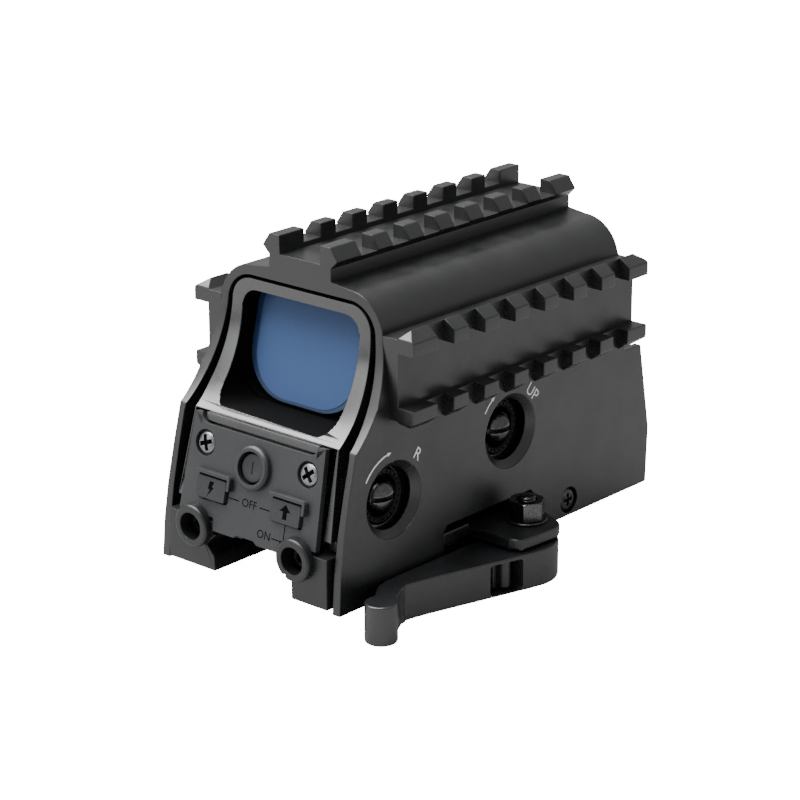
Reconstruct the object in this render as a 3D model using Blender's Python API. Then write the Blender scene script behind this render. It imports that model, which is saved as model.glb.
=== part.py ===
"""Hooded red dot sight with three accessory rails and a quick-release rail clamp.

The frame: +Z is up, +Y is the way the sight is aimed, so the shooter looks from -Y, and +X is
the lever's side.  The origin is the middle of the flat seat that rests on the host's rail.
Shapes are drawn in millimetres and written in metres.
"""

import math

import bmesh
import bpy
from mathutils import Matrix, Vector

MM = 0.001
GAP = 0.3
HOLE_SEGMENTS = 24
SMALL_SEGMENTS = 12

# Accessory rail: the standard slot pitch, with its slots, dovetail and centre channel.
RAIL_REAR_Y = -35.0
RAIL_FRONT_Y = 45.0
RAIL_PITCH = 10.008
RAIL_SLOT = 5.23
RAIL_SLOT_COUNT = 7
RAIL_SLOT_DEPTH = 3.0
RAIL_FIRST_TOOTH = 7.7
RAIL_TOP_HALF = 8.76
RAIL_WIDE_HALF = 10.76
RAIL_WIDE_DROP = 2.8
RAIL_WAIST_HALF = 8.9
RAIL_WAIST_DROP = 4.6
CHANNEL_HALF = 5.76
CHANNEL_DEPTH = 4.1
TOP_RAIL_Z = 62.8
SIDE_RAIL_X = 31.6
SIDE_RAIL_Z = 37.9

# Hood shell: an arched section, cut at the back along a swept curve and a steep lower line.
SHELL_BOTTOM_Z = -9.6
SHELL_BOTTOM_HALF = 26.2
SHELL_FLARE = (25.5, 32.3)
SHELL_CORNER = (14.0, 45.5)
SHELL_CORNER_R = 9.3
SHELL_CROWN = (8.8, 55.5)
CAVITY_HALF = 24.0
CAVITY_FLARE = (23.9, 22.8)
CAVITY_CORNER = (14.2, 45.5)
CAVITY_CORNER_R = 7.0
SWEEP_TOP_Z = 47.8
SWEEP_R = 30.5
SHOULDER = (-46.0, 24.45)
REAR_BULGE = (-50.2, 6.0)
REAR_FOOT = (-51.95, SHELL_BOTTOM_Z)
NOSE = ((45.0, 24.45), (51.2, 24.45), (54.6, 3.8), (53.8, SHELL_BOTTOM_Z))

# Optics housing inside the hood.
HOUSING_BOTTOM_Z = 2.8
HOUSING_FRONT_Y = 44.0
HOUSING_CORNER = (14.5, 46.4)
HOUSING_CORNER_R = 5.4
WINDOW_HALF = 16.9
WINDOW_Z = (25.1, 49.3)
WINDOW_CORNER_R = 4.0
BAY_OUTLINE = ((-16.8, 5.6), (16.8, 5.6), (16.8, 14.4), (11.6, 14.4),
               (11.6, 21.6), (-11.6, 21.6), (-11.6, 14.4), (-16.8, 14.4))
BAY_FRONT_Y = 14.0

# Control panel: a flat plate that leans back, drawn in its own x, u (up) and w (out) frame.
PANEL_FOOT = (-50.3, 5.3)
PANEL_TOP = (-46.0, 24.45)
PANEL_HALF = 18.9
PANEL_W = (0.3, 1.7)
PANEL_HEIGHT = 19.3
PANEL_RECESS = (16.9, 17.2, 2.4)
PANEL_SKIRT = (9.6, -2.25)
PANEL_SCREW = (14.9, 13.0)
POWER_U = 10.9
POWER_R = 3.1
POWER_RING_R = 4.5
KEY_CENTRE = (10.85, 3.9)
KEY_SIZE = (8.4, 4.7)

# Adjusters on the +X side, as (y, z) of each axis.
WINDAGE_AXIS = (-34.5, 11.4)
ELEVATION_AXIS = (3.9, 16.3)
ADJUSTER_HOLE_R = 7.6
ADJUSTER_SINK_R = 8.7
ADJUSTER_HEAD_R = 4.3
ADJUSTER_TIP_X = 5.5

# Rail clamp.
BASE_HALF = 23.7
BASE_BOTTOM_Z = -8.8
BASE_TOP_Z = 2.5
BASE_Y = (-52.6, 53.0)
BOSS_X = 14.9
BOSS_Z = 0.7
BOSS_R = 4.4
BOSS_REAR_Y = -54.4
JAW_Y = (-17.8, 11.7)
JAW_BACK_X = 24.1
CUTOUT_Y = (-18.6, 12.5)
SIDE_SCREW_AXIS = (24.7, -5.9)
EAR_Y = (-20.2, 14.1)
BRACKET_SCREW_Y = (-25.5, 19.5)
BOLT_AXIS = (32.2, 1.8)
LEVER_Z = (-13.4, -5.2)
CAM_R = 6.4
CAM_THROW = 1.4
PAD_CENTRE = (33.4, -47.7)
PAD_R = 3.0


def clear_scene():
    """Removes what a new file holds."""
    for found in list(bpy.data.objects):
        bpy.data.objects.remove(found, do_unlink=True)


def finish(name, hex_colour, metallic, roughness):
    """A Principled material with a plain colour."""
    made = bpy.data.materials.new(name)
    made.use_nodes = True
    shader = made.node_tree.nodes["Principled BSDF"]
    channels = [int(hex_colour[i:i + 2], 16) / 255 for i in (0, 2, 4)]
    linear = [c / 12.92 if c <= 0.04045 else ((c + 0.055) / 1.055) ** 2.4 for c in channels]
    shader.inputs["Base Color"].default_value = (*linear, 1.0)
    shader.inputs["Metallic"].default_value = metallic
    shader.inputs["Roughness"].default_value = roughness
    made.diffuse_color = (*linear, 1.0)
    return made


def arc(centre, radius, start, end, steps):
    """Points of an arc, with its angles in degrees."""
    angles = [math.radians(start + (end - start) * i / steps) for i in range(steps + 1)]
    return [(centre[0] + radius * math.cos(a), centre[1] + radius * math.sin(a)) for a in angles]


def mirrored(half):
    """A right half outline, listed upwards, with its left half added."""
    return list(half) + [(-x, z) for x, z in reversed(half)]


def rounded_rectangle(half_width, low, high, radius, steps=4):
    """A rectangle about x = 0 with round corners."""
    x, bottom, top = half_width - radius, low + radius, high - radius
    corners = (((x, bottom), -90), ((x, top), 0), ((-x, top), 90), ((-x, bottom), 180))
    return [p for centre, start in corners for p in arc(centre, radius, start, start + 90, steps)]


# The world point for an outline's (a, b) and its place along the extrusion.
LAYOUT = {
    "X": lambda a, b, along: (along, a, b),
    "Y": lambda a, b, along: (a, along, b),
    "Z": lambda a, b, along: (a, b, along),
}


def prism(outline, axis, low, high):
    """A closed bmesh: the outline extruded along an axis from low to high."""
    mesh = bmesh.new()
    corners = [mesh.verts.new(LAYOUT[axis](a, b, low)) for a, b in outline]
    base = mesh.faces.new(corners)
    extruded = bmesh.ops.extrude_face_region(mesh, geom=[base])
    moved = [v for v in extruded["geom"] if isinstance(v, bmesh.types.BMVert)]
    bmesh.ops.translate(mesh, verts=moved, vec=LAYOUT[axis](0, 0, high - low))
    bmesh.ops.recalc_face_normals(mesh, faces=mesh.faces)
    return mesh


def block(low, high):
    """A box between two corners."""
    outline = ((low[0], low[1]), (high[0], low[1]), (high[0], high[1]), (low[0], high[1]))
    return prism(outline, "Z", low[2], high[2])


def disc(centre, radius, axis, low, high, segments=HOLE_SEGMENTS, high_radius=None):
    """A cylinder, or a cone with another radius at its high end, along an axis."""
    mesh = bmesh.new()
    end_radius = radius if high_radius is None else high_radius
    bmesh.ops.create_cone(mesh, cap_ends=True, segments=segments, radius1=radius,
                          radius2=end_radius, depth=high - low)
    bmesh.ops.translate(mesh, verts=mesh.verts, vec=(0, 0, (low + high) / 2))
    turns = {
        "X": Matrix(((0, 0, 1), (1, 0, 0), (0, 1, 0))),
        "Y": Matrix(((0, 1, 0), (0, 0, 1), (1, 0, 0))),
        "Z": Matrix.Identity(3),
    }
    bmesh.ops.transform(mesh, matrix=turns[axis].to_4x4(), verts=mesh.verts)
    bmesh.ops.translate(mesh, verts=mesh.verts, vec=LAYOUT[axis](centre[0], centre[1], 0))
    return mesh


def turned(profile, centre, axis, segments=HOLE_SEGMENTS):
    """A closed turned body from (along, radius) points whose two ends lie on the axis."""
    mesh = bmesh.new()
    rings = []
    for along, radius in profile:
        count = segments if radius else 1
        angles = [math.tau * k / segments for k in range(count)]
        rings.append([mesh.verts.new(LAYOUT[axis](
            centre[0] + radius * math.cos(a), centre[1] + radius * math.sin(a), along)) for a in angles])
    for lower, upper in zip(rings, rings[1:]):
        for k in range(segments):
            corners = [lower[k % len(lower)], lower[(k + 1) % len(lower)],
                       upper[(k + 1) % len(upper)], upper[k % len(upper)]]
            mesh.faces.new(list(dict.fromkeys(corners)))
    bmesh.ops.recalc_face_normals(mesh, faces=mesh.faces)
    return mesh


def coil(centre, axis, low, high, radius, wire, turns, sides=4):
    """A compression spring as one round wire along a helix."""
    steps = turns * 8
    helix = [(
        radius * math.cos(math.tau * turns * i / steps),
        radius * math.sin(math.tau * turns * i / steps),
        low + wire + (high - low - 2 * wire) * i / steps,
    ) for i in range(steps + 1)]
    mesh = bmesh.new()
    rings = []
    for x, y, z in helix:
        out = Vector((x, y, 0)).normalized()
        ring = []
        for k in range(sides):
            angle = math.tau * k / sides
            point = Vector((x, y, z)) + wire * (math.cos(angle) * out + math.sin(angle) * Vector((0, 0, 1)))
            place = LAYOUT[axis](centre[0] + point.x, centre[1] + point.y, point.z)
            ring.append(mesh.verts.new(place))
        rings.append(ring)
    for lower, upper in zip(rings, rings[1:]):
        for k in range(sides):
            after = (k + 1) % sides
            mesh.faces.new((lower[k], lower[after], upper[after], upper[k]))
    mesh.faces.new(rings[0])
    mesh.faces.new(rings[-1])
    bmesh.ops.recalc_face_normals(mesh, faces=mesh.faces)
    return mesh


def hidden(mesh, name):
    """An object for a cutter or an added body, left out of the part."""
    data = bpy.data.meshes.new(name)
    bmesh.ops.scale(mesh, vec=(MM, MM, MM), verts=mesh.verts)
    mesh.to_mesh(data)
    mesh.free()
    made = bpy.data.objects.new(name, data)
    made.hide_render = True
    made.display_type = "WIRE"
    bpy.context.collection.objects.link(made)
    return made


def solid(name, mesh, material, origin=(0, 0, 0), add=(), cut=(), keep=(), smooth=True):
    """Makes one sub-part from a bmesh in millimetres, with Boolean modifiers for what is
    added, cut or kept.  origin is where the object's own origin goes."""
    data = bpy.data.meshes.new(name)
    bmesh.ops.translate(mesh, verts=mesh.verts, vec=-Vector(origin))
    bmesh.ops.scale(mesh, vec=(MM, MM, MM), verts=mesh.verts)
    mesh.to_mesh(data)
    mesh.free()
    data.materials.append(material)
    made = bpy.data.objects.new(name, data)
    made.location = Vector(origin) * MM
    bpy.context.collection.objects.link(made)
    steps = [("INTERSECT", m) for m in keep] + [("UNION", m) for m in add]
    steps += [("DIFFERENCE", m) for m in cut]
    for index, (operation, tool) in enumerate(steps):
        modifier = made.modifiers.new(f"{operation.lower()}_{index}", "BOOLEAN")
        modifier.operation = operation
        modifier.solver = "EXACT"
        modifier.object = hidden(tool, f"tool_{name}_{index}")
    if smooth:
        data.shade_smooth()
        data.set_sharp_from_angle(angle=math.radians(35))
    return made


def sweep_arc(steps):
    """The swept part of the back edge, from the shoulder up to where it turns vertical."""
    rise = math.asin((SWEEP_TOP_Z - SHOULDER[1]) / SWEEP_R)
    centre = (RAIL_REAR_Y - SWEEP_R, SWEEP_TOP_Z)
    return [SHOULDER] + arc(centre, SWEEP_R, -math.degrees(rise), 0, steps)[1:]


def rail_section():
    """Half of the rail's section as (across, drop from the outer face), from the channel out."""
    return [(0, CHANNEL_DEPTH), (CHANNEL_HALF, CHANNEL_DEPTH), (CHANNEL_HALF, 0),
            (RAIL_TOP_HALF, 0), (RAIL_WIDE_HALF, RAIL_WIDE_DROP),
            (RAIL_WAIST_HALF, RAIL_WAIST_DROP)]


def slot_starts():
    """Where each cross slot of a rail begins."""
    first = RAIL_REAR_Y + RAIL_FIRST_TOOTH
    return [first + RAIL_PITCH * i for i in range(RAIL_SLOT_COUNT)]


def top_rail():
    """The top rail, with its root in the hood's crown."""
    half = rail_section()
    root_drop = TOP_RAIL_Z - 54.0
    right = half[1:] + [(RAIL_WAIST_HALF, root_drop)]
    outline = right + [(-a, b) for a, b in reversed(right)]
    return prism([(a, TOP_RAIL_Z - b) for a, b in outline], "Y", RAIL_REAR_Y, RAIL_FRONT_Y)


def side_rail(side):
    """A side rail, with its root in the hood's wall.  side is 1 for +X and -1 for -X."""
    right = rail_section()[1:]
    upper = [(SIDE_RAIL_X - b, SIDE_RAIL_Z + a) for a, b in right] + [(22.3, SIDE_RAIL_Z + RAIL_WAIST_HALF)]
    lower = [(SIDE_RAIL_X - b, SIDE_RAIL_Z - a) for a, b in right] + [(24.4, SIDE_RAIL_Z - RAIL_WAIST_HALF)]
    outline = [(side * x, z) for x, z in upper + lower[::-1]]
    return prism(outline, "Y", RAIL_REAR_Y, RAIL_FRONT_Y)


def rail_slot_cutters():
    """Boxes that cut the cross slots of the three rails."""
    reach = RAIL_WIDE_HALF + 1.5
    cutters = []
    for start in slot_starts():
        end = start + RAIL_SLOT
        floor = TOP_RAIL_Z - RAIL_SLOT_DEPTH
        cutters.append(block((-reach, start, floor), (reach, end, TOP_RAIL_Z + 3)))
        inner = SIDE_RAIL_X - RAIL_SLOT_DEPTH
        low, high = SIDE_RAIL_Z - reach, SIDE_RAIL_Z + reach
        cutters.append(block((inner, start, low), (SIDE_RAIL_X + 3, end, high)))
        cutters.append(block((-SIDE_RAIL_X - 3, start, low), (-inner, end, high)))
    return cutters


def joined(meshes):
    """Several closed bmeshes, clear of each other, as one."""
    whole = bmesh.new()
    for mesh in meshes:
        data = bpy.data.meshes.new("joined")
        mesh.to_mesh(data)
        mesh.free()
        whole.from_mesh(data)
        bpy.data.meshes.remove(data)
    return whole


def adjuster_cutters(axis):
    """The round window over an adjuster, with its countersunk rim."""
    return [
        disc(axis, ADJUSTER_HOLE_R, "X", 21.0, 28.0),
        disc(axis, ADJUSTER_HOLE_R, "X", 24.9, 27.0, high_radius=ADJUSTER_SINK_R + 0.9),
    ]


def build_hood(metal):
    """The outer shell with its three rails."""
    outer = mirrored([(SHELL_BOTTOM_HALF, SHELL_BOTTOM_Z), SHELL_FLARE]
                     + arc(SHELL_CORNER, SHELL_CORNER_R, 0, 90, 6) + [SHELL_CROWN])
    cavity = mirrored([(CAVITY_HALF, SHELL_BOTTOM_Z - 3), CAVITY_FLARE]
                      + arc(CAVITY_CORNER, CAVITY_CORNER_R, 0, 90, 5))
    profile = [REAR_FOOT, REAR_BULGE] + sweep_arc(8)
    profile += [(RAIL_REAR_Y, 60.0), (RAIL_FRONT_Y, 60.0)] + list(NOSE)
    cuts = [prism(cavity, "Y", -70, 70), joined(rail_slot_cutters())]
    cuts += adjuster_cutters(WINDAGE_AXIS) + adjuster_cutters(ELEVATION_AXIS)
    cuts.append(block((22.0, CUTOUT_Y[0], SHELL_BOTTOM_Z - 2), (28.0, CUTOUT_Y[1], 0.5)))
    for side in (1, -1):
        low, high = sorted((side * 23.0, side * 28.0))
        sink_low, sink_high = sorted((side * 24.4, side * 28.0))
        cuts.append(disc(SIDE_SCREW_AXIS, 1.5, "X", low, high, SMALL_SEGMENTS))
        cuts.append(disc(SIDE_SCREW_AXIS, 3.0, "X", sink_low, sink_high))
    solid("hood_shell", prism(outer, "Y", -60, 60), metal,
          keep=[prism(profile, "X", -40, 40)],
          add=[top_rail(), side_rail(1), side_rail(-1)], cut=cuts)


def build_housing(metal):
    """The inner housing: window frame, sight tunnel and electronics bay in one casting."""
    section = mirrored([(22.6, HOUSING_BOTTOM_Z), (20.9, SHOULDER[1]), (21.0, 28.8)]
                       + arc(HOUSING_CORNER, HOUSING_CORNER_R, 0, 90, 5))
    profile = [(-48.7, HOUSING_BOTTOM_Z), (-48.7, PANEL_FOOT[1]), PANEL_FOOT] + sweep_arc(8)
    profile += [(RAIL_REAR_Y, 56.0), (HOUSING_FRONT_Y, 56.0), (HOUSING_FRONT_Y, HOUSING_BOTTOM_Z)]
    tunnel = rounded_rectangle(WINDOW_HALF, *WINDOW_Z, WINDOW_CORNER_R)
    cuts = [
        prism(tunnel, "Y", -60, 50),
        prism(BAY_OUTLINE, "Y", -60, BAY_FRONT_Y),
        disc(WINDAGE_AXIS, 6.3, "X", 10.0, 26.0),
        disc(ELEVATION_AXIS, 6.3, "X", 10.0, 26.0),
        block((-4.0, -25.0, 20.0), (4.0, -17.0, 27.0)),
    ]
    for side in (1, -1):
        pilot = disc((side * PANEL_SCREW[0], PANEL_SCREW[1]), 1.3, "Z", -7.0, 3.0, SMALL_SEGMENTS)
        bmesh.ops.transform(pilot, matrix=panel_frame(), verts=pilot.verts)
        cuts.append(pilot)
    solid("optics_housing", prism(section, "Y", -60, 60), metal,
          keep=[prism(profile, "X", -40, 40)], cut=cuts)


def build_front_cap(metal):
    """The nose cap that closes the lower body in front, open at its back."""
    profile = [(44.3, 2.8), (53.9, 2.8), (50.8, 24.2), (44.3, 24.2)]
    solid("front_cap", prism(profile, "X", -23.5, 23.5), metal,
          cut=[block((-20.0, 40.0, 5.5), (20.0, 48.5, 21.5))])


def lens_plate(half_width, half_height, radius, thickness, centre, lean):
    """A flat round-cornered plate that leans forward by an angle in degrees."""
    plate = prism(rounded_rectangle(half_width, -half_height, half_height, radius), "Y", 0, thickness)
    place = Matrix.Translation(Vector(centre)) @ Matrix.Rotation(math.radians(-lean), 4, "X")
    bmesh.ops.transform(plate, matrix=place, verts=plate.verts)
    return plate


def build_optics(glass, rubber, metal):
    """The two windows of the sight tunnel, and the ring that holds the front one."""
    middle = sum(WINDOW_Z) / 2
    solid("rear_window", lens_plate(16.4, 11.8, 7.0, 2.3, (0, -32.6, middle + 0.3), 14), glass)
    solid("objective_lens", lens_plate(16.5, 11.7, 4.0, 3.0, (0, 35.0, middle), 0), glass)
    outline = rounded_rectangle(16.5, middle - 11.7, middle + 11.7, 4.0)
    opening = rounded_rectangle(14.5, middle - 9.7, middle + 9.7, 3.0)
    solid("objective_seal", prism(outline, "Y", 38.3, 39.3), rubber, cut=[prism(opening, "Y", 36, 44)])
    solid("objective_retainer", prism(outline, "Y", 39.6, 41.6), metal,
          cut=[prism(opening, "Y", 36, 44)])


def panel_frame():
    """The matrix from the panel's x, u, w frame, in millimetres, to the part's."""
    up = Vector((0, PANEL_TOP[0] - PANEL_FOOT[0], PANEL_TOP[1] - PANEL_FOOT[1])).normalized()
    across = Vector((1, 0, 0))
    out = across.cross(up)
    turn = Matrix((across, up, out)).transposed().to_4x4()
    return Matrix.Translation((0, *PANEL_FOOT)) @ turn


def on_panel(mesh):
    """Moves a bmesh from the panel's frame to the part's."""
    bmesh.ops.transform(mesh, matrix=panel_frame(), verts=mesh.verts)
    return mesh


def panel_point(x, u, w):
    """A point of the panel's frame in the part's frame."""
    return tuple(panel_frame() @ Vector((x, u, w)))


def panel_outline():
    """The panel's outline, with the round-cornered dip under the window frame."""
    dip_half, dip_floor, radius = PANEL_RECESS
    dip = [(dip_half, PANEL_HEIGHT)]
    dip += arc((dip_half - radius, dip_floor + radius), radius, 0, -90, 4)
    dip += arc((-dip_half + radius, dip_floor + radius), radius, -90, -180, 4)
    dip += [(-dip_half, PANEL_HEIGHT)]
    skirt_half, skirt_u = PANEL_SKIRT
    foot = [(-PANEL_HALF, 0), (-skirt_half, 0), (-skirt_half, skirt_u), (skirt_half, skirt_u),
            (skirt_half, 0), (PANEL_HALF, 0)]
    return foot + [(PANEL_HALF, PANEL_HEIGHT)] + dip + [(-PANEL_HALF, PANEL_HEIGHT)]


def key_hood(x, u):
    """The raised corner bar above and beside a key."""
    half_x, half_u = KEY_SIZE[0] / 2 + 0.4, KEY_SIZE[1] / 2 + 0.35
    bar = 0.75
    outline = ((x - half_x, u + half_u), (x + half_x, u + half_u), (x + half_x, u + half_u - 2.0),
               (x + half_x + bar, u + half_u - 2.0), (x + half_x + bar, u + half_u + bar),
               (x - half_x, u + half_u + bar))
    return on_panel(prism(outline, "Z", 1.2, 2.5))


def build_panel(plastic, rubber, board, steel):
    """The control panel with its keys, mat, circuit board and screws."""
    low, high = PANEL_W
    key_x, key_u = KEY_CENTRE
    half_x, half_u = KEY_SIZE[0] / 2, KEY_SIZE[1] / 2
    screw_x, screw_u = PANEL_SCREW
    adds = [on_panel(disc((0, POWER_U), POWER_RING_R, "Z", 1.0, 3.0))]
    cuts = [on_panel(disc((0, POWER_U), POWER_R + GAP, "Z", -1, 4))]
    for side in (-1, 1):
        adds.append(key_hood(side * key_x, key_u))
        slot = block((side * key_x - half_x - GAP, key_u - half_u - GAP, -1),
                     (side * key_x + half_x + GAP, key_u + half_u + GAP, 4))
        cuts.append(on_panel(slot))
        cuts.append(on_panel(disc((side * screw_x, screw_u), 1.3, "Z", -1, 3, SMALL_SEGMENTS)))
        cuts.append(on_panel(disc((side * screw_x, screw_u), 2.8, "Z", 0.8, 3)))
    solid("control_panel", on_panel(prism(panel_outline(), "Z", low, high)), plastic, add=adds, cut=cuts)

    flange_w, cap_w = (-1.1, 0.0), 1.95
    for side, name in ((-1, "mode_button"), (1, "brightness_button")):
        x = side * key_x
        cap = on_panel(block((x - half_x, key_u - half_u, -0.6), (x + half_x, key_u + half_u, cap_w)))
        flange = on_panel(block((x - half_x - 0.8, key_u - half_u - 0.6, flange_w[0]),
                                (x + half_x + 0.8, key_u + half_u + 0.8, flange_w[1])))
        solid(name, flange, rubber, origin=panel_point(x, key_u, cap_w), add=[cap])
    power_flange = on_panel(disc((0, POWER_U), 3.9, "Z", *flange_w))
    solid("power_button", power_flange, rubber, origin=panel_point(0, POWER_U, 2.6),
          add=[on_panel(disc((0, POWER_U), POWER_R, "Z", -0.6, 2.6))])

    inset = [(x * 0.965, 1.6 + (z - BAY_OUTLINE[0][1]) * 0.88) for x, z in BAY_OUTLINE]
    solid("keypad_mat", on_panel(prism(inset, "Z", -2.8, -2.0)), rubber)
    solid("circuit_board", on_panel(prism(inset, "Z", -4.2, -3.1)), board)

    for side, name in ((-1, "panel_screw_left"), (1, "panel_screw_right")):
        centre = (side * screw_x, screw_u)
        head = on_panel(disc(centre, 2.4, "Z", 1.1, 1.9))
        shank = on_panel(disc(centre, 0.95, "Z", -5.5, 1.4, SMALL_SEGMENTS))
        solid(name, head, steel, add=[shank], cut=[cross_recess(centre)])


def cross_recess(centre):
    """Two crossed slots in a panel screw's head, in the panel's frame."""
    x, u = centre
    arm, half = 1.4, 0.35
    outline = ((-arm, -half), (-half, -half), (-half, -arm), (half, -arm), (half, -half), (arm, -half),
               (arm, half), (half, half), (half, arm), (-half, arm), (-half, half), (-arm, half))
    return on_panel(prism([(x + a, u + b) for a, b in outline], "Z", 1.3, 3.0))


def build_base(metal, steel):
    """The clamp base that the sight stands on, with its rail groove and two screw bosses."""
    block_low = (-BASE_HALF, BASE_Y[0], BASE_BOTTOM_Z)
    groove = [(-9.3, -10.0), (-9.6, -5.4), (-11.8, -3.1), (-8.7, 0), (8.7, 0), (11.5, -2.8),
              (13.0, -2.8), (13.0, -10.0)]
    cuts = [prism(groove, "Y", -60, 60)]
    for low, high in ((-60, -20), (24, 60)):
        cuts.append(block((-2.4, low, -0.5), (2.4, high, 0.9)))
    cuts.append(block((8.6, JAW_Y[0] - GAP, -10), (25.0, JAW_Y[1] + GAP, 0.4)))
    cuts.append(block((-7.3, 16.7, -0.5), (7.3, 22.3, 1.5)))
    cuts.append(block((19.4, -28.3, -4.9), (25.0, 22.3, -1.9)))
    for y in EAR_Y:
        cuts.append(block((14.5, y - 2.2, -10), (22.7, y + 2.2, -4.2)))
    for y in BRACKET_SCREW_Y:
        cuts.append(disc((21.5, y), 1.9, "Z", -10, -6.6, SMALL_SEGMENTS))
        cuts.append(disc((21.5, y), 1.3, "Z", -10, 1.6, SMALL_SEGMENTS))
    adds = [block((-22.3, BASE_Y[0], 1.0), (-9.9, -49.0, 5.0)),
            block((9.9, BASE_Y[0], 1.0), (22.3, -49.0, 5.0))]
    for side in (1, -1):
        centre = (side * BOSS_X, BOSS_Z)
        adds.append(disc(centre, BOSS_R, "Y", BOSS_REAR_Y, -50.0))
        cuts.append(disc(centre, 2.5, "Y", -56.0, -50.2))
        cuts.append(disc(centre, 1.3, "Y", -56.0, -43.0, SMALL_SEGMENTS))
        low, high = sorted((side * 18.0, side * 25.0))
        cuts.append(disc(SIDE_SCREW_AXIS, 1.4, "X", low, high, SMALL_SEGMENTS))
    solid("rail_base", block(block_low, (BASE_HALF, BASE_Y[1], BASE_TOP_Z)), metal, add=adds, cut=cuts)

    solid("recoil_lug", block((-7.0, 17.0, -2.3), (7.0, 22.0, 1.2)), steel)
    for side, name in ((-1, "boss_screw_left"), (1, "boss_screw_right")):
        centre = (side * BOSS_X, BOSS_Z)
        solid(name, disc(centre, 2.2, "Y", -52.9, -50.5), steel,
              add=[disc(centre, 1.0, "Y", -51.5, -43.5, SMALL_SEGMENTS)],
              cut=[disc(centre, 1.3, "Y", -54.0, -51.5, 6)])
    for side, name in ((-1, "side_screw_left"), (1, "side_screw_right")):
        head = sorted((side * 24.7, side * 25.8))
        shank = sorted((side * 19.0, side * 25.0))
        slot = sorted((side * 25.2, side * 27.0))
        solid(name, disc(SIDE_SCREW_AXIS, 2.7, "X", *head), steel,
              add=[disc(SIDE_SCREW_AXIS, 1.05, "X", *shank, SMALL_SEGMENTS)],
              cut=[side_cross(*slot)])


def side_cross(low, high):
    """Two crossed slots in a side screw's head."""
    y, z = SIDE_SCREW_AXIS
    arm, half = 1.4, 0.35
    outline = ((-arm, -half), (-half, -half), (-half, -arm), (half, -arm), (half, -half), (arm, -half),
               (arm, half), (half, half), (half, arm), (-half, arm), (-half, half), (-arm, half))
    return prism([(y + a, z + b) for a, b in outline], "X", low, high)


def build_clamp(metal, steel, spring_steel):
    """The moving jaw, its springs, and the fixed bracket with the pivot bolt."""
    jaw = [(8.1, BASE_BOTTOM_Z), (8.4, -5.4), (11.1, -2.7), (11.1, 0.1), (18.3, 0.1), (18.3, -5.2),
           (JAW_BACK_X, -5.2), (JAW_BACK_X, BASE_BOTTOM_Z)]
    ears = [block((18.0, EAR_Y[0] - 1.9, -8.5), (20.9, JAW_Y[0] + 1.0, -5.2)),
            block((18.0, JAW_Y[1] - 1.0, -8.5), (20.9, EAR_Y[1] + 1.9, -5.2))]
    solid("moving_jaw", prism(jaw, "Y", *JAW_Y), metal, add=ears)
    for y, name in zip(EAR_Y, ("jaw_spring_rear", "jaw_spring_front")):
        solid(name, coil((y, -6.5), "X", 14.8, 17.7, 1.0, 0.22, 4), spring_steel)

    plate = [(19.8, -28.0), (23.4, -28.0), (23.4, -9.5), (36.8, -9.5), (38.6, -8.4), (39.4, -6.4),
             (40.2, 1.5), (39.6, 4.0), (37.6, 6.0), (32.0, 8.2), (26.5, 11.8), (23.4, 11.8),
             (23.4, 22.0), (19.8, 22.0)]
    holes = [disc(BOLT_AXIS, 2.3, "Z", -6, 0)]
    holes += [disc((21.5, y), 1.3, "Z", -6, 0, SMALL_SEGMENTS) for y in BRACKET_SCREW_Y]
    solid("clamp_bracket", prism(plate, "Z", -4.6, -2.2), metal, cut=holes)
    for y, name in zip(BRACKET_SCREW_Y, ("bracket_screw_rear", "bracket_screw_front")):
        solid(name, disc((21.5, y), 1.6, "Z", -8.4, -6.9, SMALL_SEGMENTS), steel,
              add=[disc((21.5, y), 1.0, "Z", -7.5, 1.3, SMALL_SEGMENTS)])

    solid("pivot_bolt", disc(BOLT_AXIS, 3.5, "Z", -13.2, -11.3), steel,
          add=[disc(BOLT_AXIS, 2.0, "Z", -12.0, 4.5)])
    solid("bolt_washer", disc(BOLT_AXIS, 4.4, "Z", -1.9, -1.1), steel,
          cut=[disc(BOLT_AXIS, 2.3, "Z", -3, 0)])
    solid("bolt_nut", disc(BOLT_AXIS, 4.05, "Z", -0.8, 3.5, 6), steel,
          cut=[disc(BOLT_AXIS, 2.3, "Z", -3, 5)])


def lever_outline():
    """The lever from above: a cam round the bolt, a tapering arm and the neck of the pad."""
    cam_centre = (BOLT_AXIS[0] - CAM_THROW, BOLT_AXIS[1])
    cam = arc(cam_centre, CAM_R, 100, 235, 9)
    inner = [(30.2, -10.5), (27.5, -35.0), (27.9, -41.5), (30.9, -46.2)]
    outer = [(35.4, -45.6), (32.9, -40.6), (31.7, -35.6), (39.6, -11.2), (41.6, -4.0), (41.2, 0.6),
             (38.4, 4.8), (34.6, 7.4)]
    return cam + inner + outer


def build_lever(metal, steel, spring_steel):
    """The cam lever, its thumb pad and its sliding latch."""
    origin = (*BOLT_AXIS, 0)
    low, high = LEVER_Z
    solid("cam_lever", prism(lever_outline(), "Z", low, high), metal, origin=origin,
          add=[disc(PAD_CENTRE, PAD_R, "Z", low - 0.6, high - 0.1)],
          cut=[disc(BOLT_AXIS, 2.3, "Z", -20, 0), disc(BOLT_AXIS, 4.0, "Z", -20, -11.0),
               block((33.6, -20.0, -12.9), (44.0, -9.0, -5.9))])
    solid("lever_latch", block((33.9, -15.4, -12.5), (36.6, -9.3, -6.3)), metal,
          origin=(35.2, -12.0, -9.4), add=[block((36.0, -15.4, -12.5), (38.3, -13.9, -6.3))],
          cut=[disc((35.2, -9.4), 0.95, "Y", -17.0, -11.0, SMALL_SEGMENTS)])
    spring = coil((35.2, -9.4), "Y", -19.7, -13.4, 0.55, 0.16, 6)
    solid("latch_spring", spring, spring_steel)


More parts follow.
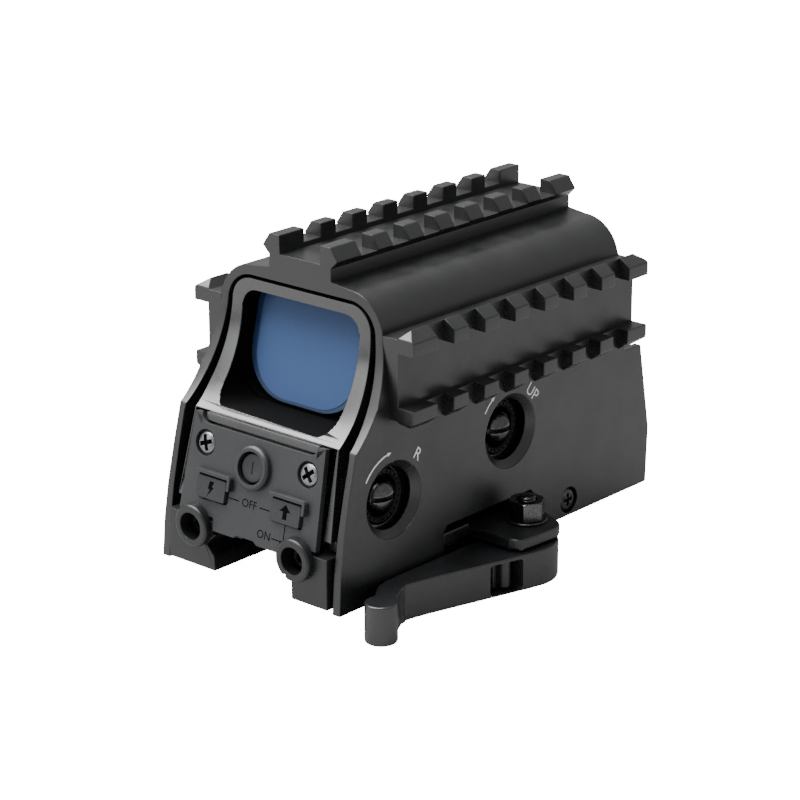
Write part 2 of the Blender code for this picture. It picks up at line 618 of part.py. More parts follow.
def build_adjusters(steel, brass):
    """The slotted windage and elevation adjusters in their cup-shaped bushes."""
    for axis, name in ((WINDAGE_AXIS, "windage"), (ELEVATION_AXIS, "elevation")):
        bore = disc(axis, 1.8, "X", 15.0, 24.0, SMALL_SEGMENTS)
        cup = disc(axis, ADJUSTER_HEAD_R + 0.4, "X", 19.9, 24.0)
        solid(f"{name}_bush", disc(axis, 6.0, "X", 17.2, 22.5), brass, cut=[cup, bore])
        y, z = axis
        shank = 1.5
        profile = [(ADJUSTER_TIP_X, 0), (ADJUSTER_TIP_X, shank), (20.2, shank), (20.2, ADJUSTER_HEAD_R),
                   (21.4, ADJUSTER_HEAD_R), (22.7, 3.5), (23.4, 2.0), (23.4, 0)]
        slot = block((21.9, y - 5.0, z - 0.5), (25.0, y + 5.0, z + 0.5))
        solid(f"{name}_screw", turned(profile, axis, "X"), steel, origin=(23.4, y, z), cut=[slot])


def build_emitter(plastic, steel, brass, spring_steel, lamp):
    """The stage that lifts the emitter and shifts it sideways, and the cell that feeds it."""
    y, z = WINDAGE_AXIS
    wedge = [(-2.6, 13.2), (8.5, 13.2), (8.5, 19.6), (3.8, 19.6)]
    solid("elevation_wedge", prism(wedge, "Y", -1.0, 8.4), brass,
          cut=[disc(ELEVATION_AXIS, 1.8, "X", -10, 10, SMALL_SEGMENTS)])
    arm = [(-7.5, 16.0), (-0.3, 16.0), (3.5, 19.8), (3.5, 20.6), (-7.5, 20.6)]
    solid("lift_platform", block((-7.0, -30.4, 6.6), (7.0, -14.0, 8.5)), plastic,
          add=[block((-7.0, -16.0, 8.0), (3.4, -13.0, 20.4)), prism(arm, "Y", -14.0, 8.0)])
    solid("windage_carriage", block((-6.0, -38.0, 7.4), (6.0, -31.0, 15.4)), brass,
          add=[block((-5.0, -32.0, 8.9), (5.0, -17.0, 14.0))],
          cut=[block((-10.0, y - 1.8, z - 2.5), (10.0, y + 1.8, z + 2.5))])
    solid("carriage_spring", coil((y, z), "X", -16.4, -7.0, 2.5, 0.3, 5), spring_steel)
    solid("emitter", turned([(14.3, 0), (14.3, 2.6), (16.6, 2.6), (16.6, 1.8), (21.6, 1.8),
                             (22.4, 1.0), (22.4, 0)], (0, -21.0), "Z"), lamp)
    solid("battery_tray", block((-10.9, -10.0, 6.9), (10.9, 12.0, 11.0)), plastic,
          cut=[disc((0, 1.0), 10.3, "Z", 8.0, 12.0)])
    solid("coin_cell", disc((0, 1.0), 10.0, "Z", 8.3, 11.5), steel)
    solid("battery_contact", block((-3.0, -3.0, 11.8), (3.0, 5.0, 12.3)), brass)


def build():
    """Makes the whole sight."""
    clear_scene()
    anodised = finish("hard_anodised_aluminium", "2b2c2e", 0.6, 0.45)
    cast = finish("painted_cast_aluminium", "37383a", 0.5, 0.5)
    plastic = finish("moulded_nylon", "2f3032", 0.0, 0.55)
    rubber = finish("silicone_rubber", "26272a", 0.0, 0.7)
    black_steel = finish("blackened_steel", "1f2022", 0.8, 0.35)
    bright_steel = finish("plated_steel", "9a9c9e", 1.0, 0.3)
    spring_steel = finish("spring_steel", "8a8c90", 1.0, 0.35)
    brass = finish("black_brass", "4a4238", 0.8, 0.4)
    glass = finish("coated_glass", "53709a", 0.0, 0.05)
    board = finish("glass_epoxy_board", "1f4a2c", 0.0, 0.5)
    lamp = finish("lamp_can", "a03028", 0.0, 0.3)

    build_hood(anodised)
    build_housing(cast)
    build_front_cap(cast)
    build_optics(glass, rubber, anodised)
    build_panel(plastic, rubber, board, bright_steel)
    build_base(cast, black_steel)
    build_clamp(anodised, black_steel, spring_steel)
    build_lever(anodised, black_steel, spring_steel)
    build_adjusters(black_steel, brass)
    build_emitter(plastic, bright_steel, brass, spring_steel, lamp)


build()
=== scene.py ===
"""The looks of a hooded red dot sight: detailed pieces, finishes, camera and studio.

Shapes are drawn in millimetres in the frame's own axes: +Z up from the rail, +Y the way the
sight is aimed, +X towards the clamp lever.  They are written in metres when a piece is done.
"""

import logging
import math
from dataclasses import dataclass
from enum import Enum

import bmesh
import bpy
from mathutils import Matrix, Vector


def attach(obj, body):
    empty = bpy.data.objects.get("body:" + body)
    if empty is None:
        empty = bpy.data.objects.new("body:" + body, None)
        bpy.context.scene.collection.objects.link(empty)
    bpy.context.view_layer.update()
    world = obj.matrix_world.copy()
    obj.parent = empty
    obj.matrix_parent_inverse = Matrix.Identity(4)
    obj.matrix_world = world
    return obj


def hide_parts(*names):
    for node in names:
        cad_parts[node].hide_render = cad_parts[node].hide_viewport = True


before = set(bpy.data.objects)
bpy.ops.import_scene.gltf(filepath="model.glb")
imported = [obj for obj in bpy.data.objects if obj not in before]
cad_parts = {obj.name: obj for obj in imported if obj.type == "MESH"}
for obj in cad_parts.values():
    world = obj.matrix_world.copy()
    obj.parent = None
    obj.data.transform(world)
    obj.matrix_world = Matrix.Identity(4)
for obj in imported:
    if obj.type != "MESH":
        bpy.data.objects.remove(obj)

LOG = logging.getLogger("sight")
MM = 0.001
# After each Boolean step, points this near (mm) are welded and faces this flat are merged.
WELD = 0.002
FLAT_DEGREES = 0.4
Outline = list[tuple[float, float]]
Point = tuple[float, float, float]
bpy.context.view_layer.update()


class Axis(Enum):
    """The axis that an outline is extruded or turned along."""

    X = "X"
    Y = "Y"
    Z = "Z"

    def place(self, a: float, b: float, along: float) -> Vector:
        """The point for an outline's a and b, and its place along the axis."""
        if self is Axis.X:
            return Vector((along, a, b))
        if self is Axis.Y:
            return Vector((a, along, b))
        return Vector((a, b, along))

    def frame(self) -> Matrix:
        """The turn from a body made along Z to one made along this axis."""
        columns = (self.place(1, 0, 0), self.place(0, 1, 0), self.place(0, 0, 1))
        return Matrix(columns).transposed().to_4x4()


def arc(centre: tuple[float, float], radius: float, start: float, end: float, steps: int = 12) -> Outline:
    """Points of an arc.

    Args:
        centre: The arc's centre.
        radius: Its radius.
        start: The first angle, in degrees.
        end: The last angle, in degrees.
        steps: How many chords it has.

    Returns:
        The points from start to end.
    """
    angles = [math.radians(start + (end - start) * i / steps) for i in range(steps + 1)]
    return [(centre[0] + radius * math.cos(a), centre[1] + radius * math.sin(a)) for a in angles]


def mirrored(half: Outline) -> Outline:
    """A right half outline, listed upwards, with its left half added."""
    return list(half) + [(-x, z) for x, z in reversed(half)]


def rounded(half: float, low: float, high: float, radius: float, middle: float = 0.0) -> Outline:
    """A round-cornered rectangle about the line x = middle."""
    x, bottom, top = half - radius, low + radius, high - radius
    corners = (((x, bottom), -90), ((x, top), 0), ((-x, top), 90), ((-x, bottom), 180))
    points = [p for centre, start in corners for p in arc(centre, radius, start, start + 90, 8)]
    return [(a + middle, b) for a, b in points]


def flowing(points: Outline, steps: int = 6) -> Outline:
    """A smooth curve through points, by Catmull and Rom's rule."""
    padded = [points[0]] + list(points) + [points[-1]]
    curve = []
    for before, start, end, after in zip(padded, padded[1:], padded[2:], padded[3:]):
        for i in range(steps):
            t = i / steps
            curve.append(tuple(
                0.5 * (2 * q + (r - p) * t + (2 * p - 5 * q + 4 * r - s) * t * t
                       + (3 * q - p - 3 * r + s) * t ** 3)
                for p, q, r, s in zip(before, start, end, after)))
    return curve + [points[-1]]


def cross(centre: tuple[float, float], arm: float, half: float) -> Outline:
    """The outline of a cross recess."""
    quarter = [(half, -arm), (half, -half), (arm, -half), (arm, half), (half, half), (half, arm)]
    points = quarter + [(-a, -b) for a, b in quarter]
    return [(centre[0] + a, centre[1] + b) for a, b in points]


@dataclass
class Blank:
    """A closed body in millimetres, on its way to being a piece."""

    mesh: bmesh.types.BMesh

    @classmethod
    def prism(cls, outline: Outline, axis: Axis, low: float, high: float) -> "Blank":
        """An outline extruded along an axis from low to high."""
        mesh = bmesh.new()
        corners = [mesh.verts.new(axis.place(a, b, low)) for a, b in outline]
        face = mesh.faces.new(corners)
        grown = bmesh.ops.extrude_face_region(mesh, geom=[face])
        moved = [v for v in grown["geom"] if isinstance(v, bmesh.types.BMVert)]
        bmesh.ops.translate(mesh, verts=moved, vec=axis.place(0, 0, high - low))
        bmesh.ops.recalc_face_normals(mesh, faces=mesh.faces)
        return cls(mesh)

    @classmethod
    def block(cls, low: Point, high: Point) -> "Blank":
        """A box between two corners."""
        outline = [(low[0], low[1]), (high[0], low[1]), (high[0], high[1]), (low[0], high[1])]
        return cls.prism(outline, Axis.Z, low[2], high[2])

    @classmethod
    def disc(cls, centre: tuple[float, float], radius: float, axis: Axis, low: float, high: float,
             segments: int = 48) -> "Blank":
        """A cylinder along an axis."""
        return cls.prism(arc(centre, radius, 0, 360 - 360 / segments, segments - 1), axis, low, high)

    @classmethod
    def turned(cls, profile: Outline, centre: tuple[float, float], axis: Axis, segments: int = 48) -> "Blank":
        """A body turned on an axis.

        Args:
            profile: (along, radius) points whose ends lie on the axis.
            centre: Where the axis stands, as the axis's own a and b.
            axis: Its direction.
            segments: How many steps the spin takes.

        Returns:
            The closed body.
        """
        mesh = bmesh.new()
        verts = [mesh.verts.new((radius, 0, along)) for along, radius in profile]
        edges = [mesh.edges.new(pair) for pair in zip(verts, verts[1:])]
        bmesh.ops.spin(mesh, geom=verts + edges, cent=(0, 0, 0), axis=(0, 0, 1), angle=math.tau,
                       steps=segments, use_merge=True)
        bmesh.ops.remove_doubles(mesh, verts=mesh.verts, dist=0.0005)
        bmesh.ops.recalc_face_normals(mesh, faces=mesh.faces)
        placed = Matrix.Translation(axis.place(*centre, 0)) @ axis.frame()
        bmesh.ops.transform(mesh, matrix=placed, verts=mesh.verts)
        bmesh.ops.recalc_face_normals(mesh, faces=mesh.faces)
        return cls(mesh)

    @classmethod
    def lettering(cls, words: str, size: float, depth: float) -> "Blank":
        """Letters that stand up from the XY plane, centred on the origin."""
        curve = bpy.data.curves.new("lettering", "FONT")
        curve.body = words
        curve.size = size
        curve.extrude = depth / 2
        curve.align_x = "CENTER"
        curve.align_y = "CENTER"
        curve.resolution_u = 4
        return cls(read_back(curve))

    @classmethod
    def wire(cls, path: list[Vector], radius: float, sides: int = 8) -> "Blank":
        """A round wire along a path, with closed ends."""
        curve = bpy.data.curves.new("wire", "CURVE")
        curve.dimensions = "3D"
        curve.bevel_depth = radius
        curve.bevel_resolution = sides // 4
        curve.use_fill_caps = True
        spline = curve.splines.new("POLY")
        spline.points.add(len(path) - 1)
        for point, place in zip(spline.points, path):
            point.co = (*place, 1)
        return cls(read_back(curve))

    def as_object(self, name: str) -> bpy.types.Object:
        """The blank as an object, which uses the blank up."""
        data = bpy.data.meshes.new(name)
        self.mesh.to_mesh(data)
        self.mesh.free()
        made = bpy.data.objects.new(name, data)
        bpy.context.scene.collection.objects.link(made)
        return made

    def moved(self, matrix: Matrix) -> "Blank":
        """The same blank, put through a matrix."""
        bmesh.ops.transform(self.mesh, matrix=matrix, verts=self.mesh.verts)
        return self

    def shaped(self, keep: tuple = (), add: tuple = (), cut: tuple = ()) -> "Blank":
        """A new blank after Boolean steps.

        Args:
            keep: Blanks that it is trimmed to.
            add: Blanks that are joined to it.
            cut: Blanks that are cut from it.

        Returns:
            The result, with its flat faces tidied.
        """
        work = self.as_object("work")
        used = [work]
        for operation, group in (("INTERSECT", keep), ("UNION", add), ("DIFFERENCE", cut)):
            for blank in group:
                tool = blank.as_object("tool")
                used.append(tool)
                modifier = work.modifiers.new(operation, "BOOLEAN")
                modifier.operation = operation
                modifier.solver = "EXACT"
                modifier.object = tool
        result = bmesh.new()
        result.from_object(work, bpy.context.evaluated_depsgraph_get())
        for made in used:
            bpy.data.objects.remove(made, do_unlink=True)
        bmesh.ops.remove_doubles(result, verts=result.verts, dist=WELD)
        bmesh.ops.dissolve_limit(result, angle_limit=math.radians(FLAT_DEGREES), verts=result.verts,
                                 edges=result.edges)
        return Blank(result)

    def eased(self, width: float, segments: int = 2, angle: float = 32.0) -> "Blank":
        """The blank with its outer corners rounded over.

        Args:
            width: How far back from each corner the rounding starts.
            segments: How many faces each rounding has.
            angle: The least turn, in degrees, that counts as a corner.

        Returns:
            The same blank.
        """
        limit = math.radians(angle)
        corners = [e for e in self.mesh.edges if len(e.link_faces) == 2 and e.is_convex
                   and e.calc_face_angle(0) > limit and e.calc_length() > width * 0.8]
        bmesh.ops.bevel(self.mesh, geom=corners, offset=width, offset_type="OFFSET", segments=segments,
                        profile=0.5, affect="EDGES", clamp_overlap=False, material=-1)
        return self

    def piece(self, name: str, body: str, finish: "Finish", *replaced: str) -> bpy.types.Object:
        """Finishes the blank as a piece.

        Args:
            name: The piece's name.
            body: The body that it rides on.
            finish: What it is made of.
            replaced: The CAD nodes that it stands for.

        Returns:
            The piece's object, with its origin at the frame's.
        """
        bmesh.ops.scale(self.mesh, vec=(MM, MM, MM), verts=self.mesh.verts)
        made = self.as_object(name)
        made.data.materials.append(finish.material())
        made.data.shade_smooth()
        made.data.set_sharp_from_angle(angle=math.radians(34))
        flat = made.modifiers.new("flat_faces_stay_flat", "WEIGHTED_NORMAL")
        flat.keep_sharp = True
        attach(made, body)
        if replaced:
            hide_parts(*replaced)
        LOG.info("%s: %d faces on %s", name, len(made.data.polygons), body)
        return made


def read_back(curve: bpy.types.Curve) -> bmesh.types.BMesh:
    """The mesh of a curve or text, with its doubles merged."""
    made = bpy.data.objects.new("read_back", curve)
    bpy.context.scene.collection.objects.link(made)
    flat = bpy.data.meshes.new_from_object(made.evaluated_get(bpy.context.evaluated_depsgraph_get()))
    bpy.data.objects.remove(made, do_unlink=True)
    mesh = bmesh.new()
    mesh.from_mesh(flat)
    bmesh.ops.remove_doubles(mesh, verts=mesh.verts, dist=0.0005)
    bmesh.ops.recalc_face_normals(mesh, faces=mesh.faces)
    return mesh


def linear(hex_colour: str) -> tuple[float, float, float, float]:
    """An sRGB hex colour as linear red, green, blue and 1."""
    channels = [int(hex_colour[i:i + 2], 16) / 255 for i in (0, 2, 4)]
    red, green, blue = [c / 12.92 if c <= 0.04045 else ((c + 0.055) / 1.055) ** 2.4 for c in channels]
    return red, green, blue, 1.0


def add_node(tree: bpy.types.NodeTree, kind: str, settings: dict | None = None,
             links: dict | None = None, **values: object) -> bpy.types.Node:
    """Adds a node.

    Args:
        tree: The material's node tree.
        kind: The node's type name.
        settings: Its properties.
        links: Input name or index to the socket that feeds it.
        values: Input name, with _ for a space, to its value.

    Returns:
        The node.
    """
    made = tree.nodes.new(kind)
    for key, value in (settings or {}).items():
        setattr(made, key, value)
    for key, value in values.items():
        made.inputs[key.replace("_", " ")].default_value = value
    for key, socket in (links or {}).items():
        tree.links.new(socket, made.inputs[key])
    return made


@dataclass(frozen=True)
class Finish:
    """A finish with a fine surface grain and slow changes of colour and gloss.

    Sizes are real ones in millimetres.  The grain stands grain_height proud.
    """

    name: str
    slot: str
    colour: str
    highlight: str
    roughness: float
    sheen_spread: float = 0.06
    metallic: float = 0.0
    ior: float = 1.5
    grain_mm: float = 0.25
    grain_height: float = 0.006
    drift_mm: float = 9.0
    stretch: Point = (1.0, 1.0, 1.0)
    transmission: float = 0.0
    coat: float = 0.0

    def material(self) -> bpy.types.Material:
        """The material, made once."""
        found = bpy.data.materials.get(self.name)
        if found:
            return found
        made = bpy.data.materials.new(self.name)
        made.use_nodes = True
        tree = made.node_tree
        shader = tree.nodes["Principled BSDF"]
        self.constants(shader)
        place = add_node(tree, "ShaderNodeTexCoord").outputs["Object"]
        mapped = add_node(tree, "ShaderNodeMapping", links={"Vector": place}, Scale=self.stretch).outputs[0]
        self.dress(tree, shader, mapped)
        made.diffuse_color = linear(self.colour)
        return made

    def constants(self, shader: bpy.types.Node) -> None:
        """Sets what is the same all over the surface."""
        shader.inputs["Metallic"].default_value = self.metallic
        if self.metallic < 0.5:
            shader.inputs["IOR"].default_value = self.ior
        shader.inputs["Transmission Weight"].default_value = self.transmission
        shader.inputs["Coat Weight"].default_value = self.coat
        shader.inputs["Coat Roughness"].default_value = 0.08

    def dress(self, tree: bpy.types.NodeTree, shader: bpy.types.Node, mapped: bpy.types.NodeSocket) -> None:
        """Adds the colour, gloss and grain patterns."""
        drift = add_node(tree, "ShaderNodeTexNoise", links={"Vector": mapped},
                         Scale=1 / (self.drift_mm * MM), Detail=4.0, Roughness=0.6)
        grain = add_node(tree, "ShaderNodeTexNoise", links={"Vector": mapped},
                         Scale=1 / (self.grain_mm * MM), Detail=3.0, Roughness=0.55)
        blend = add_node(tree, "ShaderNodeMath", {"operation": "MULTIPLY"},
                         {0: drift.outputs["Fac"], 1: grain.outputs["Fac"]})
        tint = add_node(tree, "ShaderNodeMapRange", links={"Value": blend.outputs[0]},
                        From_Min=0.15, From_Max=0.4)
        mix = add_node(tree, "ShaderNodeMix", {"data_type": "RGBA"}, {0: tint.outputs[0]})
        mix.inputs[6].default_value = linear(self.colour)
        mix.inputs[7].default_value = linear(self.highlight)
        tree.links.new(mix.outputs[2], shader.inputs["Base Color"])
        gloss = add_node(tree, "ShaderNodeMapRange", links={"Value": drift.outputs["Fac"]},
                         From_Min=0.3, From_Max=0.7, To_Min=self.roughness - self.sheen_spread,
                         To_Max=self.roughness + self.sheen_spread)
        tree.links.new(gloss.outputs[0], shader.inputs["Roughness"])
        bump = add_node(tree, "ShaderNodeBump", links={"Height": grain.outputs["Fac"]},
                        Strength=1.0, Distance=self.grain_height * MM)
        tree.links.new(bump.outputs[0], shader.inputs["Normal"])


@dataclass(frozen=True)
class CoatedGlass(Finish):
    """Glass with a blue reflecting coat, a little paler towards its lower edge."""

    low_z: float = 24.0
    high_z: float = 49.0

    def dress(self, tree: bpy.types.NodeTree, shader: bpy.types.Node, mapped: bpy.types.NodeSocket) -> None:
        """Adds a slow change of blue from bottom to top, paler at the bottom."""
        height = add_node(tree, "ShaderNodeSeparateXYZ", links={"Vector": mapped}).outputs["Z"]
        cloud = add_node(tree, "ShaderNodeTexNoise", links={"Vector": mapped}, Scale=1 / (14 * MM),
                         Detail=2.0)
        level = add_node(tree, "ShaderNodeMapRange", links={"Value": height},
                         From_Min=self.low_z * MM, From_Max=self.high_z * MM)
        drift = add_node(tree, "ShaderNodeMath", {"operation": "MULTIPLY_ADD"},
                         {0: cloud.outputs["Fac"], 2: level.outputs[0]})
        drift.inputs[1].default_value = 0.25
        ramp = add_node(tree, "ShaderNodeMix", {"data_type": "RGBA"}, {0: drift.outputs[0]})
        ramp.inputs[6].default_value = linear(self.highlight)
        ramp.inputs[7].default_value = linear(self.colour)
        tree.links.new(ramp.outputs[2], shader.inputs["Base Color"])
        shader.inputs["Roughness"].default_value = self.roughness


@dataclass(frozen=True)
class Palette:
    """Every finish of the sight."""

    # Bead-blasted aluminium with a thick black oxide: even, satin, with a cool grey sheen.
    anodised: Finish = Finish("hard_anodised_aluminium_blasted", "hard_anodised", "0a0b0c", "121315",
                              0.38, ior=1.6, grain_mm=0.22, grain_height=0.004)
    # The lever is tumbled before its oxide, so it is a shade glossier.
    lever: Finish = Finish("hard_anodised_aluminium_tumbled", "hard_anodised", "121314", "1e1f22",
                           0.34, ior=1.65, grain_mm=0.3, grain_height=0.003)
    # Die-cast aluminium under fine black powder paint: a soft, faintly pebbled satin.
    cast: Finish = Finish("powder_painted_die_casting", "cast", "0c0d0e", "141517",
                          0.38, ior=1.5, grain_mm=0.35, grain_height=0.008)
    # The swept bezel is wet-painted smoother, so it mirrors the lights above as a pale band.
    bezel: Finish = Finish("satin_painted_die_casting", "cast", "0f1011", "18191b",
                           0.28, ior=1.82, grain_mm=0.4, grain_height=0.004)
    # The sight tunnel is brushed with flat black paint, and its colour is darkened further and its gloss
    # weakened as painted shade for the shade inside the hood, so nothing shines behind the window.
    tunnel_black_and_shade: Finish = Finish("flat_black_paint_with_painted_shade", "cast", "050506", "090909",
                           0.8, ior=1.15, grain_mm=0.3, grain_height=0.006)
    # Glass-filled nylon from a spark-eroded mould: matt with a fine even grain.
    nylon: Finish = Finish("moulded_glass_filled_nylon", "nylon", "18191b", "222326",
                           0.52, ior=1.53, grain_mm=0.28, grain_height=0.010)
    # Silicone rubber: deeper black, with almost no gloss.
    rubber: Finish = Finish("moulded_silicone_rubber", "rubber", "1c1d1f", "27282b",
                            0.6, ior=1.45, grain_mm=0.3, grain_height=0.006)
    # Black-oxide steel: dark metal with an oily shine and turning marks.
    black_steel: Finish = Finish("black_oxide_steel_turned", "black_steel", "3a3a3c", "565658",
                                 0.32, 0.1, metallic=1.0, grain_mm=0.5, grain_height=0.004)
    # Black-oxide steel over a polished surface: the nut and the adjusters' domes flash in the light.
    polished_steel: Finish = Finish("black_oxide_steel_polished", "black_steel", "4a4a4c", "6a6a6c",
                                    0.22, 0.06, metallic=1.0, grain_mm=0.5, grain_height=0.002)
    # Nickel-plated screw heads: pale satin metal.
    plated: Finish = Finish("nickel_plated_steel", "plated_steel", "77787a", "8c8d8f",
                            0.34, 0.08, metallic=1.0, grain_mm=0.4, grain_height=0.004)
    # Hard-drawn spring wire: bright with fine lines along the wire.
    spring: Finish = Finish("drawn_spring_wire", "spring_steel", "8b8b8e", "a6a6a8",
                            0.3, metallic=1.0, grain_mm=0.15, grain_height=0.003)
    # Turned brass, dull from handling.
    brass: Finish = Finish("turned_brass", "brass", "7a6234", "8f7540",
                           0.36, metallic=1.0, grain_mm=0.4, grain_height=0.004)
    # Turned brass round the adjusters, near black and with weak gloss: painted shade for the deep holes that
    # the cups sit in.
    hole_shade_brass: Finish = Finish("turned_brass_painted_hole_shade", "brass", "0c0c0d", "161617",
                                0.6, ior=1.3, grain_mm=0.4, grain_height=0.006)
    # Circuit board: green solder mask over woven glass.
    board: Finish = Finish("glass_epoxy_solder_mask", "board", "123c22", "1b5230",
                           0.35, ior=1.55, grain_mm=0.5, grain_height=0.010)
    # Cast epoxy lamp body: clear deep red.
    lamp: Finish = Finish("cast_red_epoxy", "lamp", "7a1a14", "a02a20", 0.12, ior=1.54, coat=0.4)
    # Pad-printed white ink: matt, slightly uneven.
    ink: Finish = Finish("pad_printed_white_ink", "hard_anodised", "dcdcda", "f2f2f0",
                         0.6, grain_mm=0.2, grain_height=0.004)
    # Painted shadow: the mould's engraved letters and lines, the sunk key signs and the screw recesses hold
    # shade, so this dark colour laid in them reads darker than the panel.
    recess_shade: Finish = Finish("engraved_mark_shadow", "nylon", "060606", "0a0a0a",
                              0.85, ior=1.1, grain_mm=0.3, grain_height=0.004)
    # Multi-coated window: steel blue, with a sharp clear reflection.
    window: CoatedGlass = CoatedGlass("blue_coated_window_glass", "coated_glass", "344a70", "3a507a",
                                      0.42, ior=1.25, transmission=0.08)
    # The edge round the window is a darker blue: painted shade for its bevel.
    pane_rim_shade: Finish = Finish("pane_rim_painted_shade", "coated_glass", "16263f", "1f3353",
                                 0.35, ior=1.4, grain_mm=0.2, grain_height=0.004)


FINISHES = Palette()


@dataclass
class RailShape:
    """The accessory rail: a standard slotted dovetail with a channel down its middle."""

    rear_y: float = -35.0
    front_y: float = 45.0
    pitch: float = 10.008
    slot: float = 5.23
    slots: int = 7
    slot_depth: float = 3.0
    first_tooth: float = 7.7
    top_half: float = 8.76
    wide_half: float = 10.76
    wide_drop: float = 2.8
    waist_half: float = 8.9
    waist_drop: float = 4.6
    channel_half: float = 5.76
    channel_depth: float = 4.1

    def half_section(self) -> Outline:
        """Half the section as (across, drop), from the channel's corner outwards."""
        return [(self.channel_half, self.channel_depth), (self.channel_half, 0), (self.top_half, 0),
                (self.wide_half, self.wide_drop), (self.waist_half, self.waist_drop)]

    def slot_spans(self) -> Outline:
        """Where each cross slot starts and ends along the rail."""
        first = self.rear_y + self.first_tooth
        return [(first + self.pitch * i, first + self.pitch * i + self.slot) for i in range(self.slots)]


@dataclass
class Hood:
    """The outer shell with its three rails."""

    rail: RailShape
    top_z: float = 62.8
    side_x: float = 31.6
    side_z: float = 37.9
    bottom_z: float = -9.6
    corner: tuple[float, float] = (14.0, 45.5)
    corner_radius: float = 9.3
    cavity_corner: tuple[float, float] = (14.2, 45.5)
    cavity_radius: float = 7.0
    shoulder: tuple[float, float] = (-46.0, 24.45)
    sweep_top: float = 47.8
    sweep_radius: float = 30.5
    cutout: tuple[float, float, float] = (-18.6, 12.5, 0.5)
    windage: tuple[float, float] = (-34.5, 11.4)
    elevation: tuple[float, float] = (3.9, 16.3)
    screw: tuple[float, float] = (24.7, -5.9)
    arrow_radius: float = 10.6

    def sweep(self, steps: int = 28) -> Outline:
        """The swept back edge, as (y, z) from the shoulder upwards."""
        rise = math.degrees(math.asin((self.sweep_top - self.shoulder[1]) / self.sweep_radius))
        centre = (self.rail.rear_y - self.sweep_radius, self.sweep_top)
        return [self.shoulder] + arc(centre, self.sweep_radius, -rise, 0, steps)[1:]

    def back_edge(self) -> Outline:
        """The whole back edge from the foot up to where it turns vertical."""
        bulge = [(-51.95, self.bottom_z), (-51.35, -1.0), (-50.1, 7.0), (-48.2, 15.6)]
        return bulge + self.sweep()

    def section(self) -> Outline:
        """The shell's outer section, as (x, z)."""
        half = [(26.2, self.bottom_z), (25.5, 32.3)] + arc(self.corner, self.corner_radius, 0, 90, 20)
        return mirrored(half + [(8.8, 55.5)])

    def cavity(self) -> Outline:
        """The space inside, as (x, z)."""
        half = [(24.0, self.bottom_z - 3), (23.9, 22.8)]
        return mirrored(half + arc(self.cavity_corner, self.cavity_radius, 0, 90, 16))

    def top_rail(self) -> Blank:
        """The top rail with its root in the crown."""
        half = self.rail.half_section() + [(self.rail.waist_half, self.top_z - 54.0)]
        outline = [(a, self.top_z - b) for a, b in half]
        return Blank.prism(mirrored(outline), Axis.Y, self.rail.rear_y, self.rail.front_y)

    def side_rail(self, side: int) -> Blank:
        """A side rail with its root in the wall.  side is 1 for +X and -1 for -X."""
        half = self.rail.half_section()
        upper = [(self.side_x - b, self.side_z + a) for a, b in half]
        lower = [(self.side_x - b, self.side_z - a) for a, b in half]
        waist = self.rail.waist_half
        upper.append((22.3, self.side_z + waist))
        lower.append((24.4, self.side_z - waist))
        outline = [(side * x, z) for x, z in upper + lower[::-1]]
        return Blank.prism(outline, Axis.Y, self.rail.rear_y, self.rail.front_y)

    def slot_cutters(self) -> list[Blank]:
        """The cross slots of the three rails."""
        reach = self.rail.wide_half + 1.5
        cutters = []
        for start, end in self.rail.slot_spans():
            cutters.append(Blank.block((-reach, start, self.top_z - self.rail.slot_depth),
                                       (reach, end, self.top_z + 3)))
            for side in (-1, 1):
                near, far = sorted((side * (self.side_x - self.rail.slot_depth), side * (self.side_x + 3)))
                cutters.append(Blank.block((near, start, self.side_z - reach),
                                           (far, end, self.side_z + reach)))
        return cutters

    def ridge_trims(self) -> list[Blank]:
        """Wedges that slope the side rails' ridges down at both ends."""
        waist, ridge = self.rail.waist_half - 0.4, self.rail.wide_half + 0.8
        trims = []
        for end, inward in ((self.rail.rear_y, 1), (self.rail.front_y, -1)):
            for up in (-1, 1):
                for side in (-1, 1):
                    outline = [(end - inward, self.side_z + up * waist),
                               (end + inward * 3.6, self.side_z + up * ridge),
                               (end - inward, self.side_z + up * ridge)]
                    near, far = sorted((side * 26.6, side * 33.0))
                    trims.append(Blank.prism(outline, Axis.X, near, far))
        return trims

    def adjuster_sinks(self) -> list[Blank]:
        """The holes over the adjusters, with their countersunk rims."""
        profile = [(20.0, 0), (20.0, 6.7), (23.7, 6.7), (24.3, 6.95), (25.75, 8.5), (28.0, 8.5), (28.0, 0)]
        return [Blank.turned(profile, axis, Axis.X, 72) for axis in (self.windage, self.elevation)]

    def make(self) -> None:
        """Builds the shell, with the printed marks beside the adjusters."""
        nose = [(45.0, 24.45), (51.2, 24.45), (54.6, 3.8), (53.8, self.bottom_z)]
        profile = self.back_edge() + [(self.rail.rear_y, 60.0), (self.rail.front_y, 60.0)] + nose
        low_y, high_y, top = self.cutout
        window = [(low_y, -14), (low_y, top - 1.2), (low_y + 1.2, top), (high_y - 1.6, top),
                  (high_y, top - 1.6), (high_y, -14)]
        cuts = [Blank.prism(self.cavity(), Axis.Y, -70, 70), *self.slot_cutters(), *self.ridge_trims(),
                *self.adjuster_sinks(), Blank.prism(window, Axis.X, 22.0, 28.0)]
        for side in (1, -1):
            sink = [(22.0, 0), (22.0, 1.5), (24.3, 1.5), (24.3, 3.0), (28.0, 3.0), (28.0, 0)]
            cuts.append(Blank.turned([(side * x, r) for x, r in sink], self.screw, Axis.X))
        shell = Blank.prism(self.section(), Axis.Y, -60, 60).shaped(
            keep=(Blank.prism(profile, Axis.X, -40, 40),),
            add=(self.top_rail(), self.side_rail(1), self.side_rail(-1)), cut=tuple(cuts))
        shell.eased(0.28).piece("hood_body", "sight", FINISHES.anodised, "hood_shell")
        self.marks()

